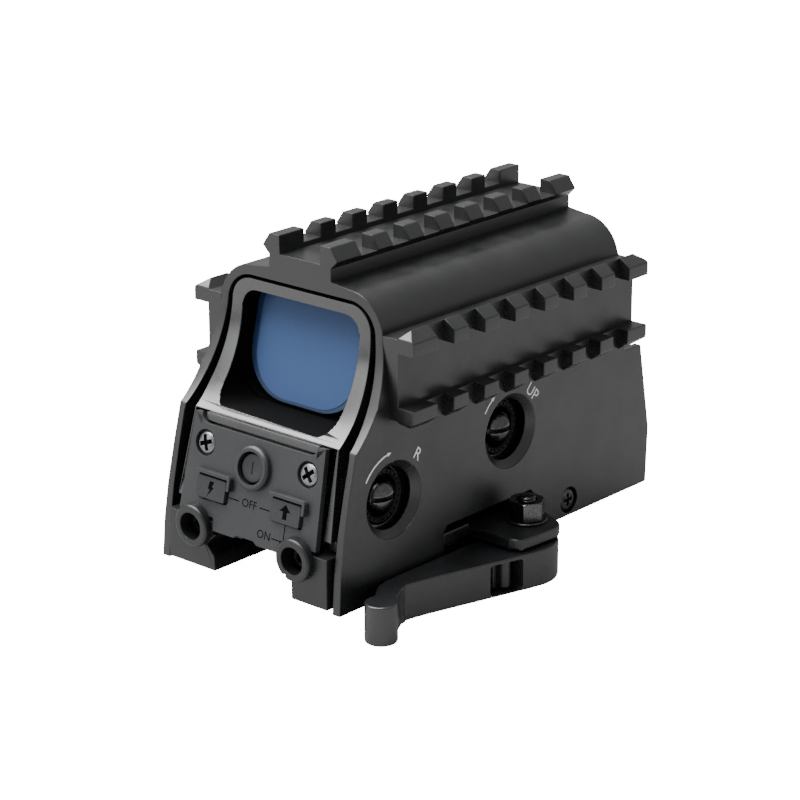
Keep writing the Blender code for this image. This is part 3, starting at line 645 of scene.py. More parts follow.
    def marks(self) -> None:
        """Prints the direction letters and arrows beside the adjusters."""
        for words, place, tilt, name in (("R", (-27.0, 19.4), -38, "windage_letter"),
                                         ("UP", (11.4, 23.2), -46, "elevation_letters")):
            letters = Blank.lettering(words, 3.8, 0.05).moved(self.on_plate(*place, tilt))
            letters.piece(name, "sight", FINISHES.ink)
        for centre, end, name in ((self.windage, 100, "windage_arrow"),
                                  (self.elevation, 126, "elevation_arrow")):
            line = arc((0, 0), self.arrow_radius + 0.17, 145, end, 16)
            line += arc((0, 0), self.arrow_radius - 0.17, end, 145, 16)
            Blank.prism(line, Axis.Z, 0, 0.04).moved(self.on_plate(*centre)).piece(
                name, "sight", FINISHES.ink)
            tip, barb = math.radians(end - 6), math.radians(end)
            head = [(r * math.cos(a), r * math.sin(a)) for r, a in (
                (self.arrow_radius + 0.45, barb), (self.arrow_radius - 0.45, barb), (self.arrow_radius, tip))]
            Blank.prism(head, Axis.Z, 0, 0.04).moved(self.on_plate(*centre)).piece(
                f"{name}_head", "sight", FINISHES.ink)

    def on_plate(self, y: float, z: float, tilt: float = 0.0) -> Matrix:
        """Where a mark drawn flat, and turned by tilt degrees, goes on the leaning +X plate."""
        (low_x, low_z), (high_x, high_z) = self.section()[:2]
        lean = (high_x - low_x) / (high_z - low_z)
        place = Matrix.Translation((low_x + lean * (z - low_z) + 0.005, y, z))
        flat = Matrix(((0, lean, 1), (1, 0, 0), (0, 1, 0))).to_4x4()
        return place @ flat @ Matrix.Rotation(math.radians(tilt), 4, "Z")


@dataclass
class OpticsHousing:
    """The inner casting: the swept window frame, sight tunnel and electronics bay."""

    hood: Hood
    front_y: float = 44.0
    bottom_z: float = 2.8
    window_half: float = 16.9
    window_z: tuple[float, float] = (25.1, 49.3)

    def make(self) -> None:
        """Builds the casting, the windows and the nose cap."""
        section = mirrored([(22.6, self.bottom_z), (20.9, 24.45), (21.0, 28.8)]
                           + arc((14.5, 46.4), 5.4, 0, 90, 16))
        profile = [(-48.7, self.bottom_z), (-48.7, 5.3), (-50.3, 5.3)] + self.hood.sweep()
        profile += [(self.hood.rail.rear_y, 56.0), (self.front_y, 56.0), (self.front_y, self.bottom_z)]
        tunnel = rounded(self.window_half, *self.window_z, 4.2)
        bay = [(-16.8, 5.6), (16.8, 5.6), (16.8, 14.4), (11.6, 14.4), (11.6, 21.6), (-11.6, 21.6),
               (-11.6, 14.4), (-16.8, 14.4)]
        cuts = [Blank.prism(tunnel, Axis.Y, -60, 50), Blank.prism(bay, Axis.Y, -60, 14),
                Blank.disc(self.hood.windage, 6.3, Axis.X, 10, 26),
                Blank.disc(self.hood.elevation, 6.3, Axis.X, 10, 26),
                Blank.block((-4, -25, 20), (4, -17, 27))]
        for side in (-1, 1):
            grooves = [(side * 18.95, -60), (side * 20.3, -60), (side * 20.3, -44.0), (side * 18.95, -44.0)]
            cuts.append(Blank.prism(grooves, Axis.Z, 2.0, 24.2))
        lip = [(-47.4, 22.75), (-47.0, 24.45), (-44.0, 24.4), (-44.0, 22.75)]
        casting = Blank.prism(section, Axis.Y, -60, 60).shaped(
            keep=(Blank.prism(profile, Axis.X, -40, 40),), add=(Blank.prism(lip, Axis.X, -16.4, 16.4),),
            cut=tuple(cuts))
        made = casting.eased(0.22).piece("window_frame_casting", "sight", FINISHES.bezel, "optics_housing")
        self.darken_tunnel(made)
        self.windows()
        self.nose()

    def darken_tunnel(self, casting: bpy.types.Object) -> None:
        """Gives the sight tunnel's walls their matt black paint, darkened further as painted shade."""
        casting.data.materials.append(FINISHES.tunnel_black_and_shade.material())
        low, high = self.window_z
        for face in casting.data.polygons:
            x, _, z = (c / MM for c in face.center)
            inside = abs(x) < self.window_half + 0.05 and low - 0.05 < z < high + 0.05
            if inside and abs(face.normal.y) < 0.3:
                face.material_index = 1

    def windows(self) -> None:
        """Builds the leaning rear window with a darker band of painted shade round its edge, and the front
        lens.
        """
        middle = sum(self.window_z) / 2 + 0.3
        lean = Matrix.Translation((0, -32.6, middle)) @ Matrix.Rotation(math.radians(-14), 4, "X")
        clear, edge = self.pane(14.8, -11.1, 11.9, 10.0), self.pane(16.5, -11.8, 11.9, 11.2)
        Blank.prism(clear, Axis.Y, 0, 2.3).moved(lean).eased(0.12).piece(
            "window_glass", "sight", FINISHES.window, "rear_window")
        # A darker ring round the clear pane: painted shade for the window's bevelled edge.
        rim = Blank.prism(edge, Axis.Y, 0.1, 2.2).shaped(
            cut=(Blank.prism(self.pane(14.75, -11.05, 11.85, 10.0), Axis.Y, -1, 4),))
        rim.moved(lean).eased(0.2).piece("window_rim_shade", "sight", FINISHES.pane_rim_shade)
        low, high = self.window_z
        outer = rounded(self.window_half - 0.03, low + 0.03, high - 0.03, 4.2)
        inner = rounded(self.window_half - 0.36, low + 0.5, high + 3.0, 5.0)
        seat = Blank.prism(outer, Axis.Y, -34.4, -29.2).shaped(cut=(Blank.prism(inner, Axis.Y, -40, -20),))
        # The seat wears the tunnel's flat black, which is partly painted shade.
        seat.piece("window_seat", "sight", FINISHES.tunnel_black_and_shade)
        lens = Blank.prism(rounded(16.5, middle - 12.0, middle + 11.4, 4.0), Axis.Y, 35.0, 38.0)
        lens.eased(0.35).piece("front_lens", "sight", FINISHES.window, "objective_lens")

    def pane(self, half: float, low: float, high: float, radius: float) -> Outline:
        """The window's outline: broad corners below, and tighter ones under the roof."""
        below = arc((half - radius, low + radius), radius, -90, 0, 14)
        above = arc((half - 3.6, high - 3.6), 3.6, 0, 90, 8)
        return mirrored(below + above)

    def nose(self) -> None:
        """Builds the nose cap, with a pocket cut into its back."""
        profile = [(44.3, 2.8), (53.9, 2.8), (50.8, 24.2), (44.3, 24.2)]
        cap = Blank.prism(profile, Axis.X, -23.5, 23.5).shaped(
            cut=(Blank.block((-20, 40, 5.5), (20, 48.5, 21.5)),))
        cap.eased(0.5, 3).piece("nose_cap", "sight", FINISHES.cast, "front_cap")


@dataclass
class ControlPanel:
    """The leaning panel with three buttons, two screws and the names cut into it.

    Its own frame has x across, u up the panel and w out of it.
    """

    foot: tuple[float, float] = (-50.3, 5.3)
    top: tuple[float, float] = (-46.0, 24.45)
    half: float = 18.9
    foot_half: float = 20.0
    height: float = 19.3
    face: float = 1.7
    dip: Point = (16.9, 17.2, 2.4)
    skirt: tuple[float, float] = (9.6, -5.1)
    side_low: float = -2.35
    screw: tuple[float, float] = (14.9, 13.0)
    power_u: float = 10.9
    power_radius: float = 3.1
    ring_radius: float = 4.8
    key: tuple[float, float] = (10.85, 3.9)
    key_half: tuple[float, float] = (4.2, 2.35)

    def matrix(self) -> Matrix:
        """The turn and place from the panel's frame to the sight's."""
        up = Vector((0, self.top[0] - self.foot[0], self.top[1] - self.foot[1])).normalized()
        across = Vector((1, 0, 0))
        turn = Matrix((across, up, across.cross(up))).transposed().to_4x4()
        return Matrix.Translation((0, *self.foot)) @ turn

    def outline(self) -> Outline:
        """The panel's outline, with the dip under the window and the skirt between the bosses."""
        dip_half, floor, radius = self.dip
        dip = [(dip_half, self.height)]
        dip += arc((dip_half - radius, floor + radius), radius, 0, -90, 8)
        dip += arc((radius - dip_half, floor + radius), radius, -90, -180, 8)
        dip += [(-dip_half, self.height)]
        skirt_half, low = self.skirt
        foot = [(-self.foot_half, self.side_low), (-skirt_half - 0.3, self.side_low), (-skirt_half, low),
                (-3.4, low),
                (-2.4, low + 0.7), (2.4, low + 0.7), (3.4, low), (skirt_half, low),
                (skirt_half + 0.3, self.side_low), (self.foot_half, self.side_low)]
        return foot + [(self.half, self.height)] + dip + [(-self.half, self.height)]

    def key_bar(self, x: float, u: float) -> Blank:
        """The raised corner bar above and beside a key."""
        half_x, half_u = self.key_half[0] + 0.5, self.key_half[1] + 0.5
        bar, drop = 0.85, 2.3
        outline = [(x - half_x, u + half_u), (x + half_x, u + half_u), (x + half_x, u + half_u - drop),
                   (x + half_x + bar, u + half_u - drop), (x + half_x + bar, u + half_u + bar * 0.4),
                   (x + half_x + bar * 0.4, u + half_u + bar), (x - half_x, u + half_u + bar)]
        return Blank.prism(outline, Axis.Z, 1.2, 3.0)

    def make(self) -> None:
        """Builds the plate, buttons, screws, names and what lies behind the plate."""
        place = self.matrix()
        key_x, key_u = self.key
        screw_x, screw_u = self.screw
        ring = [(1.0, 0), (1.0, self.ring_radius), (2.6, self.ring_radius),
                (3.1, self.ring_radius - 0.5), (3.1, 0)]
        adds = [Blank.turned(ring, (0, self.power_u), Axis.Z)]
        cuts = [Blank.disc((0, self.power_u), self.power_radius + 0.45, Axis.Z, -1, 4)]
        for side in (-1, 1):
            x = side * key_x
            adds.append(self.key_bar(x, key_u))
            half_x, half_u = self.key_half[0] + 0.35, self.key_half[1] + 0.35
            cuts.append(Blank.prism(rounded(half_x, key_u - half_u, key_u + half_u, 0.5, x), Axis.Z, -1, 4))
            cuts.append(Blank.disc((side * screw_x, screw_u), 1.3, Axis.Z, -1, 3))
            cuts.append(Blank.disc((side * screw_x, screw_u), 2.85, Axis.Z, 0.6, 3))
        grooves = tuple(Blank.block((*line[0], self.face - 0.16), (*line[1], self.face + 1))
                        for line in self.engraved_lines())
        plate = Blank.prism(self.outline(), Axis.Z, 0.3, self.face).shaped(add=tuple(adds), cut=tuple(cuts))
        plate.eased(0.14).shaped(cut=grooves).moved(place).piece(
            "panel_plate", "sight", FINISHES.nylon, "control_panel")
        self.keys(place)
        self.screws(place)
        self.names(place)
        self.electronics(place)

    def engraved_lines(self) -> list[tuple[tuple[float, float], tuple[float, float]]]:
        """Thin grooves that join the names to the keys, each as two corners."""
        return [((-6.2, 2.9), (-3.0, 3.15)), ((3.0, 2.9), (6.2, 3.15)),
                ((7.4, -2.6), (10.9, -2.35)), ((10.65, -2.6), (10.9, 1.2))]

    def keys(self, place: Matrix) -> None:
        """Builds the two square keys and the round power button."""
        key_x, key_u = self.key
        half_x, half_u = self.key_half
        down = [(-0.5, 1.5), (0.7, 1.5), (0.15, 0.25), (0.75, 0.25), (-0.75, -1.7), (-0.2, -0.25),
                (-0.8, -0.25)]
        up = [(0, 1.7), (1.5, 0.2), (0.55, 0.2), (0.55, -1.5), (-0.55, -1.5), (-0.55, 0.2), (-1.5, 0.2)]
        for side, name, body, sign in ((-1, "mode", "mode_key", down),
                                       (1, "brightness", "brightness_key", up)):
            x = side * key_x
            cap = Blank.prism(rounded(half_x, key_u - half_u, key_u + half_u, 0.45, x), Axis.Z, -0.6, 2.5)
            flange = Blank.block((x - half_x - 0.8, key_u - half_u - 0.6, -1.1),
                                 (x + half_x + 0.8, key_u + half_u + 0.8, 0))
            sunk = Blank.prism([(x + a, key_u + b) for a, b in sign], Axis.Z, 2.3, 3)
            cap.shaped(add=(flange,), cut=(sunk,)).eased(0.18).moved(place).piece(
                f"{name}_key_cap", body, FINISHES.rubber, f"{name}_button")
            # A dark sign laid on the floor of the sunk sign: painted shade for the sunk mark.
            mark = Blank.prism([(x + a * 0.96, key_u + b * 0.96) for a, b in sign], Axis.Z, 2.26, 2.33)
            mark.moved(place).piece(f"{name}_key_sign_shade", body, FINISHES.recess_shade)
        profile = [(-1.1, 0), (-1.1, 3.9), (0, 3.9), (0, self.power_radius), (2.0, self.power_radius),
                   (2.25, self.power_radius - 0.12), (2.35, self.power_radius - 0.5), (2.2, 1.8), (2.12, 0)]
        button = Blank.turned(profile, (0, self.power_u), Axis.Z).shaped(
            cut=(Blank.block((-0.28, self.power_u - 1.3, 2.0), (0.28, self.power_u + 1.3, 4)),))
        button.moved(place).piece("power_button_cap", "power_key", FINISHES.rubber, "power_button")

    def screws(self, place: Matrix) -> None:
        """Builds the cross-recessed panel screws."""
        screw_x, screw_u = self.screw
        for side, name, turn in ((-1, "left", 20), (1, "right", 38)):
            profile = [(-5.5, 0), (-5.2, 0.95), (0.7, 0.95), (0.7, 2.4), (1.2, 2.4), (1.5, 2.0), (1.65, 1.1),
                       (1.65, 0)]
            spin = Matrix.Translation((side * screw_x, screw_u, 0))
            spin = spin @ Matrix.Rotation(math.radians(turn), 4, "Z")
            recess = Blank.prism(cross((0, 0), 1.75, 0.46), Axis.Z, 0.8, 3)
            head = Blank.turned(profile, (0, 0), Axis.Z).shaped(cut=(recess,)).eased(0.06)
            head.moved(place @ spin).piece(
                f"panel_screw_{name}_head", "sight", FINISHES.plated, f"panel_screw_{name}")
            # A dark cross laid on the floor of each cross recess: painted shade for the recess.
            floor = Blank.prism(cross((0, 0), 1.74, 0.45), Axis.Z, 0.81, 1.02)
            floor.moved(place @ spin).piece(f"panel_screw_{name}_recess", "sight", FINISHES.recess_shade)

    def names(self, place: Matrix) -> None:
        """Lays dark ON and OFF letters on the panel and dark strips in the grooves to the keys: painted shade
        for their engraving.
        """
        for words, x, u in (("OFF", 0.0, 3.0), ("ON", 5.2, -2.4)):
            spot = Matrix.Translation((x, u, self.face))
            Blank.lettering(words, 2.5, 0.03).moved(place @ spot).piece(
                f"panel_word_shade_{words.lower()}", "sight", FINISHES.recess_shade)
        for index, (low, high) in enumerate(self.engraved_lines()):
            # A dark strip at the bottom of each groove: painted shade.
            line = Blank.block((*low, self.face - 0.2), (*high, self.face - 0.14))
            line.moved(place).piece(f"panel_line_shade_{index}", "sight", FINISHES.recess_shade)

    def electronics(self, place: Matrix) -> None:
        """Adds parts to the circuit board behind the keypad."""
        for index, (x, u, wide, tall) in enumerate(((0, 8.0, 4.0, 4.0), (-8.0, 6.0, 2.4, 1.3),
                                                    (8.0, 6.0, 2.4, 1.3),
                                                    (-5.0, 11.5, 1.6, 3.2), (6.0, 12.0, 3.0, 1.6))):
            chip = Blank.block((x - wide / 2, u - tall / 2, -5.0), (x + wide / 2, u + tall / 2, -4.25))
            chip.eased(0.1).moved(place).piece(f"board_part_{index}", "sight", FINISHES.rubber)


@dataclass
class RailBase:
    """The clamp base with its rail groove, screw bosses and side screws."""

    half: float = 23.2
    rear_y: float = -52.6
    front_y: float = 53.0
    top_z: float = 2.5
    bottom_z: float = -8.8
    boss: tuple[float, float] = (14.9, 0.7)
    boss_radius: float = 4.75
    boss_rear: float = -54.4
    jaw_y: tuple[float, float] = (-17.8, 11.7)
    side_screw: tuple[float, float] = (24.7, -5.9)
    bracket_screws: tuple[float, float] = (-25.5, 19.5)

    def make(self) -> None:
        """Builds the base and its fixed screws."""
        groove = [(-9.3, -10), (-9.6, -5.4), (-11.8, -3.1), (-8.7, 0), (8.7, 0), (11.5, -2.8),
                  (13.0, -2.8), (13.0, -10)]
        cuts = [Blank.prism(groove, Axis.Y, -60, 60),
                Blank.block((8.6, self.jaw_y[0] - 0.3, -10), (25, self.jaw_y[1] + 0.3, 0.4)),
                Blank.block((-7.3, 16.7, -0.5), (7.3, 22.3, 1.5)),
                Blank.block((19.4, -28.3, -4.9), (25, 22.3, -1.9)),
                Blank.block((-10.0, -55, -0.5), (10.0, -51.2, 6.0))]
        for low, high in ((-60, -20), (24, 60)):
            cuts.append(Blank.block((-2.4, low, -0.5), (2.4, high, 0.9)))
        for y in (-20.2, 14.1):
            cuts.append(Blank.block((14.5, y - 2.2, -10), (22.7, y + 2.2, -4.2)))
        for y in self.bracket_screws:
            cuts.append(Blank.disc((21.5, y), 1.9, Axis.Z, -10, -6.6))
            cuts.append(Blank.disc((21.5, y), 1.3, Axis.Z, -10, 1.6))
        adds = []
        for side in (-1, 1):
            profile = [(self.boss_rear, 0), (self.boss_rear, self.boss_radius - 0.35),
                       (self.boss_rear + 0.35, self.boss_radius), (-50.0, self.boss_radius), (-50.0, 0)]
            centre = (side * self.boss[0], self.boss[1])
            adds.append(Blank.turned(profile, centre, Axis.Y))
            bore = [(-56, 0), (-56, 3.05), (-50.2, 2.8), (-50.2, 1.3), (-43, 1.3), (-43, 0)]
            cuts.append(Blank.turned(bore, centre, Axis.Y))
            shank = [(side * x, r) for x, r in ((18, 0), (18, 1.4), (25, 1.4), (25, 0))]
            cuts.append(Blank.turned(shank, self.side_screw, Axis.X))
        body = Blank.block((-self.half, self.rear_y, self.bottom_z), (self.half, self.front_y, self.top_z))
        body.shaped(add=tuple(adds), cut=tuple(cuts)).eased(0.3).piece(
            "groove_block", "sight", FINISHES.cast, "rail_base")
        self.screws()

    def screws(self) -> None:
        """Builds the socket screws in the bosses and the cross screws in the hood's sides."""
        for side, name in ((-1, "left"), (1, "right")):
            centre = (side * self.boss[0], self.boss[1])
            profile = [(-51.6, 0), (-51.6, 1.9), (-51.4, 2.2), (-50.3, 2.2), (-50.3, 1.0), (-43.5, 1.0),
                       (-43.5, 0)]
            socket = Blank.disc(centre, 1.3, Axis.Y, -54, -50.8, 6)
            Blank.turned(profile, centre, Axis.Y).shaped(cut=(socket,)).piece(
                f"socket_screw_{name}", "sight", FINISHES.black_steel, f"boss_screw_{name}")
            profile = [(19.0, 0), (19.0, 1.05), (24.7, 1.05), (24.7, 2.75), (25.3, 2.75), (25.75, 2.2),
                       (25.9, 0)]
            head = Blank.turned([(side * x, r) for x, r in profile], self.side_screw, Axis.X)
            near, far = sorted((side * 25.1, side * 27.0))
            recess = Blank.prism(cross(self.side_screw, 1.5, 0.36), Axis.X, near, far)
            head.shaped(cut=(recess,)).eased(0.06).piece(
                f"side_screw_{name}_head", "sight", FINISHES.black_steel, f"side_screw_{name}")


@dataclass
class RailClamp:
    """The jaw, its springs, the bracket and the pivot bolt with its washer and nut."""

    base: RailBase
    bolt: tuple[float, float] = (32.2, 1.8)
    jaw_back: float = 24.1

    def make(self) -> None:
        """Builds every piece of the clamp."""
        jaw = [(8.1, -8.8), (8.4, -5.4), (11.1, -2.7), (11.1, 0.1), (18.3, 0.1), (18.3, -5.2),
               (self.jaw_back, -5.2), (self.jaw_back, -8.8)]
        low, high = self.base.jaw_y
        ears = (Blank.block((18.0, -22.1, -8.5), (20.9, low + 1, -5.2)),
                Blank.block((18.0, high - 1, -8.5), (20.9, 16.0, -5.2)))
        Blank.prism(jaw, Axis.Y, low, high).shaped(add=ears).eased(0.25).piece(
            "sliding_jaw", "jaw", FINISHES.anodised, "moving_jaw")
        for y, name in ((-20.2, "rear"), (14.1, "front")):
            self.coil((y, -6.5), Axis.X, 14.8, 17.7, 1.0, 0.22, 4).piece(
                f"jaw_coil_{name}", "sight", FINISHES.spring, f"jaw_spring_{name}")
        self.bracket()
        self.pivot()
        for y, name in zip(self.base.bracket_screws, ("rear", "front")):
            profile = [(-8.4, 0), (-8.4, 1.6), (-6.9, 1.6), (-6.9, 1.0), (1.3, 1.0), (1.3, 0)]
            slot = Blank.block((19.5, y - 0.25, -9), (23.5, y + 0.25, -7.8))
            Blank.turned(profile, (21.5, y), Axis.Z).shaped(cut=(slot,)).piece(
                f"bracket_bolt_{name}", "sight", FINISHES.black_steel, f"bracket_screw_{name}")

    def coil(self, centre: tuple[float, float], axis: Axis, low: float, high: float, radius: float,
             wire: float, turns: int) -> Blank:
        """A compression spring along an axis, wound at an even pitch."""
        steps = turns * 20
        path = []
        for i in range(steps + 1):
            angle = math.tau * turns * i / steps
            along = low + wire + (high - low - 2 * wire) * i / steps
            path.append(axis.place(centre[0] + radius * math.cos(angle),
                                   centre[1] + radius * math.sin(angle), along))
        return Blank.wire(path, wire)

    def bracket(self) -> None:
        """Builds the plate that carries the pivot bolt."""
        tip = flowing([(36.4, -9.5), (38.4, -8.6), (39.5, -6.6), (40.1, 1.0), (39.7, 3.7), (38.0, 5.8),
                       (34.0, 7.6)], 6)
        plate = [(19.8, -28.0), (23.4, -28.0), (23.4, -9.5)] + tip
        plate += [(27.0, 11.2), (25.6, 11.8), (23.4, 11.8), (23.4, 22.0), (19.8, 22.0)]
        holes = (Blank.disc(self.bolt, 2.3, Axis.Z, -6, 0),
                 *(Blank.disc((21.5, y), 1.3, Axis.Z, -6, 0) for y in self.base.bracket_screws))
        root = Blank.block((22.6, -17.9, -4.6), (25.4, -9.2, -1.5))
        Blank.prism(plate, Axis.Z, -4.6, -2.2).shaped(add=(root,), cut=holes).eased(0.45, 3).piece(
            "pivot_bracket", "sight", FINISHES.anodised, "clamp_bracket")

    def pivot(self) -> None:
        """Builds the bolt, washer and chamfered nut."""
        pitch = 0.6
        thread = [(2.0 + pitch * i / 2, 2.0 - 0.28 * (i % 2)) for i in range(6)]
        bolt = [(-13.2, 0), (-13.2, 3.1), (-12.8, 3.5), (-11.3, 3.5), (-11.3, 2.0), *thread,
                (3.6, 1.4), (3.6, 0)]
        Blank.turned(bolt, self.bolt, Axis.Z).piece(
            "pivot_bolt_body", "sight", FINISHES.black_steel, "pivot_bolt")
        washer = Blank.turned([(-2.15, 0), (-2.15, 4.45), (-2.0, 4.6), (-1.75, 4.6), (-1.6, 4.45), (-1.6, 0)],
                              self.bolt, Axis.Z)
        washer.shaped(cut=(Blank.disc(self.bolt, 2.3, Axis.Z, -3, 0),)).piece(
            "bolt_washer_ring", "sight", FINISHES.black_steel, "bolt_washer")
        crown = Blank.turned([(-1.55, 0), (-1.55, 3.85), (-1.3, 4.3), (2.3, 4.3), (2.7, 3.7), (2.7, 0)],
                             self.bolt, Axis.Z)
        nut = Blank.disc(self.bolt, 4.2, Axis.Z, -1.55, 2.7, 6).shaped(
            keep=(crown,), cut=(Blank.disc(self.bolt, 2.3, Axis.Z, -3, 5),))
        nut.eased(0.1).piece("hex_nut", "sight", FINISHES.polished_steel, "bolt_nut")


@dataclass
class CamLever:
    """The lever with its cam, thumb pad and sprung latch."""

    clamp: RailClamp
    low: float = -13.4
    high: float = -5.2
    throw: float = 1.4
    cam_radius: float = 6.4
    pad: tuple[float, float] = (33.7, -47.5)
    pad_radius: float = 3.5

    def outline(self) -> Outline:
        """The lever from above, anticlockwise from the cam."""
        bolt = self.clamp.bolt
        cam = arc((bolt[0] - self.throw, bolt[1]), self.cam_radius, 100, 225, 24)
        inner = flowing([(27.4, -6.0), (27.1, -12.0), (27.0, -25.0), (26.9, -36.0), (27.6, -41.5),
                         (30.6, -46.0)], 6)
        outer = flowing([(35.9, -46.0), (33.8, -42.2), (32.4, -39.2), (32.2, -36.0), (35.4, -24.5),
                         (39.4, -11.4),
                         (41.1, -5.6), (41.7, -2.2), (41.3, 0.8), (39.3, 4.2), (35.4, 7.2)], 6)
        return cam + inner + outer

    def make(self) -> None:
        """Builds the lever, latch and latch spring."""
        bolt = self.clamp.bolt
        pad = Blank.disc(self.pad, self.pad_radius, Axis.Z, self.low - 0.6, self.high, 56)
        pocket = Blank.block((33.6, -17.0, -12.9), (44, -9.0, -5.9)).eased(0.8, 4)
        cuts = (Blank.disc(bolt, 2.3, Axis.Z, -20, 0), Blank.disc(bolt, 4.0, Axis.Z, -20, -11.0), pocket)
        arm = Blank.prism(self.outline(), Axis.Z, self.low, self.high).shaped(add=(pad,)).eased(0.45, 3)
        arm.shaped(cut=cuts).piece("lever_arm", "lever", FINISHES.lever, "cam_lever")
        slider = Blank.block((33.9, -14.2, -12.5), (36.0, -9.5, -6.3))
        ridge = Blank.disc((36.6, -11.3), 1.5, Axis.Z, -12.4, -6.4)
        bore = Blank.disc((35.0, -9.4), 0.8, Axis.Y, -17, -11)
        slider.shaped(add=(ridge,), cut=(bore,)).eased(0.22).piece(
            "latch_slider", "latch", FINISHES.lever, "lever_latch")
        self.clamp.coil((35.0, -9.4), Axis.Y, -16.9, -13.4, 0.5, 0.13, 6).piece(
            "latch_coil", "lever", FINISHES.black_steel, "latch_spring")


@dataclass
class Adjusters:
    """The slotted windage and elevation screws in their ribbed bushes."""

    hood: Hood
    head: float = 3.95

    def make(self) -> None:
        """Builds both adjusters."""
        for name, axis, body in (("windage", self.hood.windage, "windage_adjuster"),
                                 ("elevation", self.hood.elevation, "elevation_adjuster")):
            self.bush(name, axis)
            self.screw(name, axis, body)

    def bush(self, name: str, axis: tuple[float, float]) -> None:
        """Builds the cup with a ring of click notches."""
        outer = [(17.2, 0), (17.2, 6.0), (22.2, 6.0), (22.5, 5.7), (22.5, 0)]
        cup = Blank.turned([(19.9, 0), (19.9, 4.7), (22.1, 4.7), (22.6, 5.1), (24, 5.1), (24, 0)],
                           axis, Axis.X)
        bore = Blank.disc(axis, 1.8, Axis.X, 15, 24)
        notches = []
        for index in range(24):
            angle = math.tau * index / 24
            spot = (axis[0] + 5.3 * math.cos(angle), axis[1] + 5.3 * math.sin(angle))
            notches.append(Blank.disc(spot, 0.28, Axis.X, 21.6, 23, 8))
        # The cup's near-black finish is painted shade for the hole round the screw.
        Blank.turned(outer, axis, Axis.X).shaped(cut=(cup, bore, *notches)).piece(
            f"{name}_cup", "sight", FINISHES.hole_shade_brass, f"{name}_bush")

    def screw(self, name: str, axis: tuple[float, float], body: str) -> None:
        """Builds the domed screw head with its driver slot."""
        profile = [(5.5, 0), (5.5, 1.5), (20.2, 1.5), (20.2, self.head), (21.2, self.head),
                   (21.35, self.head - 0.2), (21.5, self.head), (21.8, self.head)]
        profile += [(21.4 + 3.2 * math.sin(a), self.head * math.cos(a) * 0.98)
                    for a in [math.radians(d) for d in range(20, 90, 7)]] + [(24.6, 0)]
        slot = Blank.block((22.4, axis[0] - 5, axis[1] - 0.5), (26, axis[0] + 5, axis[1] + 0.5))
        Blank.turned(profile, axis, Axis.X).shaped(cut=(slot,)).eased(0.08).piece(
            f"{name}_slotted_screw", body, FINISHES.polished_steel, f"{name}_screw")


@dataclass
class CarriedOver:
    """The CAD nodes whose shape is right: they get a finish and eased edges."""

    ease: float = 0.12

    def finishes(self) -> dict[str, Finish]:
        """Node name to finish."""
        return {
            "objective_seal": FINISHES.rubber, "objective_retainer": FINISHES.anodised,
            "keypad_mat": FINISHES.rubber, "circuit_board": FINISHES.board,
            "recoil_lug": FINISHES.black_steel,
            "elevation_wedge": FINISHES.brass, "lift_platform": FINISHES.nylon,
            "windage_carriage": FINISHES.brass, "carriage_spring": FINISHES.spring, "emitter": FINISHES.lamp,
            "battery_tray": FINISHES.nylon, "coin_cell": FINISHES.plated, "battery_contact": FINISHES.brass,
        }

    def make(self) -> None:
        """Dresses each node."""
        for name, finish in self.finishes().items():
            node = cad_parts[name]
            node.data.materials.clear()
            node.data.materials.append(finish.material())
            weld = node.modifiers.new("weld", "WELD")
            weld.merge_threshold = 0.00001
            bevel = node.modifiers.new("eased_edges", "BEVEL")
            bevel.width = self.ease * MM
            bevel.segments = 2
            bevel.limit_method = "ANGLE"
            bevel.angle_limit = math.radians(40)
            LOG.info("%s: carried over in %s", name, finish.name)


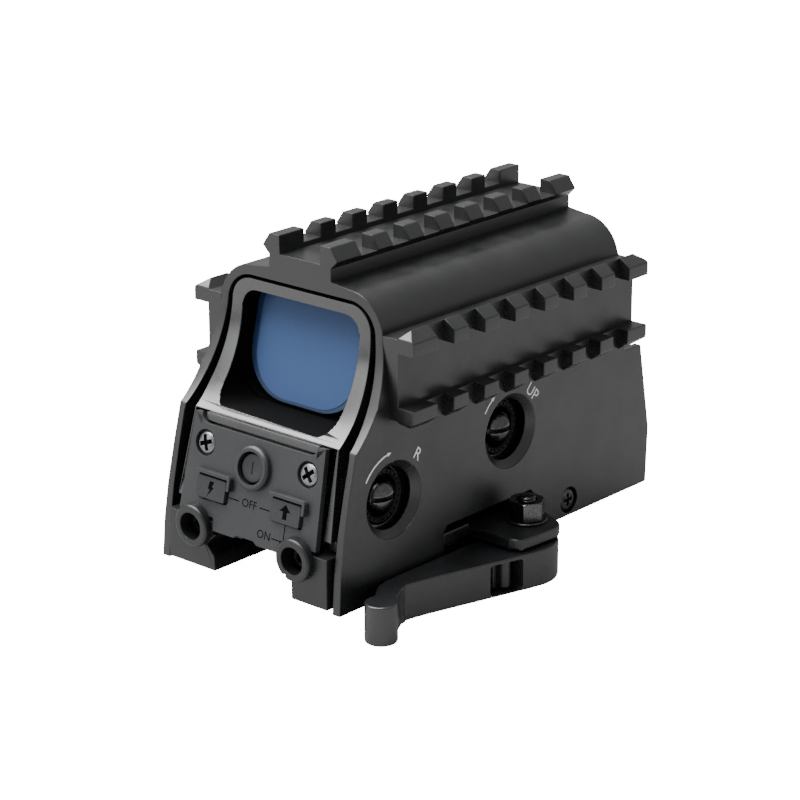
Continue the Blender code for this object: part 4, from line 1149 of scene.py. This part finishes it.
@dataclass
class Studio:
    """The floor, lights and camera."""

    azimuth: float = 41.341
    elevation: float = 19.104
    roll: float = -0.073
    distance: float = 508.172
    target: Point = (61.749, -73.444, 51.733)
    focal: float = 123.37
    floor_z: float = -14.15
    floor_colour: str = "a8a8a8"
    room_light: float = 0.62
    seen_white: float = 16.0

    def make(self) -> None:
        """Builds the studio."""
        self.floor()
        self.lights()
        self.camera()

    def floor(self) -> None:
        """Lays a plain pale floor."""
        mesh = bmesh.new()
        bmesh.ops.create_grid(mesh, x_segments=1, y_segments=1, size=6.0)
        bmesh.ops.translate(mesh, verts=mesh.verts, vec=(0, 0, self.floor_z * MM))
        data = bpy.data.meshes.new("studio_floor")
        mesh.to_mesh(data)
        mesh.free()
        floor = bpy.data.objects.new("studio_floor", data)
        bpy.context.scene.collection.objects.link(floor)
        paint = bpy.data.materials.new("matt_white_board")
        paint.use_nodes = True
        tree = paint.node_tree
        shader = tree.nodes["Principled BSDF"]
        shader.inputs["Base Color"].default_value = linear(self.floor_colour)
        shader.inputs["Roughness"].default_value = 0.9
        shader.inputs["Emission Color"].default_value = (1.0, 1.0, 1.0, 1.0)
        seen = add_node(tree, "ShaderNodeLightPath").outputs["Is Camera Ray"]
        glow = add_node(tree, "ShaderNodeMapRange", links={"Value": seen}, To_Min=0.0, To_Max=self.seen_white)
        tree.links.new(glow.outputs[0], shader.inputs["Emission Strength"])
        data.materials.append(paint)

    def lights(self) -> None:
        """Hangs a broad soft light overhead and a weaker one beside it."""
        world = bpy.data.worlds.new("soft_room")
        world.use_nodes = True
        backdrop = world.node_tree.nodes["Background"]
        backdrop.inputs["Color"].default_value = (1.0, 1.0, 1.0, 1.0)
        seen = add_node(world.node_tree, "ShaderNodeLightPath").outputs["Is Camera Ray"]
        level = add_node(world.node_tree, "ShaderNodeMapRange", links={"Value": seen},
                         To_Min=self.room_light, To_Max=self.seen_white)
        world.node_tree.links.new(level.outputs[0], backdrop.inputs["Strength"])
        bpy.context.scene.world = world
        self.area("overhead_softbox", (-0.3, -0.15, 0.75), (0, 0, 0.03), 0.8, 26.0)
        self.area("front_fill", (-0.55, -0.85, 0.35), (0, -0.02, 0.03), 0.5, 2.5)

    def area(self, name: str, place: Point, aim: Point, size: float, power: float) -> None:
        """Hangs one square light, aimed at a point."""
        data = bpy.data.lights.new(name, "AREA")
        data.size = size
        data.energy = power
        lamp = bpy.data.objects.new(name, data)
        lamp.location = place
        lamp.rotation_euler = (Vector(aim) - Vector(place)).to_track_quat("-Z", "Y").to_euler()
        bpy.context.scene.collection.objects.link(lamp)

    def camera(self) -> None:
        """Sets the camera at the fitted viewing angle."""
        around, up = math.radians(self.azimuth), math.radians(self.elevation)
        away = Vector((math.cos(up) * math.sin(around), -math.cos(up) * math.cos(around), math.sin(up)))
        data = bpy.data.cameras.new("camera")
        data.lens = self.focal
        data.sensor_width = 36.0
        data.clip_start = 0.01
        camera = bpy.data.objects.new("camera", data)
        look = (-away).to_track_quat("-Z", "Y").to_matrix().to_4x4()
        spin = Matrix.Rotation(math.radians(self.roll), 4, "Z")
        place = (Vector(self.target) + away * self.distance) * MM
        camera.matrix_world = Matrix.Translation(place) @ look @ spin
        bpy.context.scene.collection.objects.link(camera)
        bpy.context.scene.camera = camera


def main() -> None:
    """Builds the studio, then the sight in order."""
    logging.basicConfig(level=logging.INFO, format="%(message)s")
    Studio().make()
    hood = Hood(RailShape())
    base = RailBase()
    clamp = RailClamp(base)
    for part in (hood, OpticsHousing(hood), ControlPanel(), base, clamp, CamLever(clamp), Adjusters(hood),
                 CarriedOver()):
        part.make()
        LOG.info("finished %s", type(part).__name__)


if __name__ == "__main__":
    main()
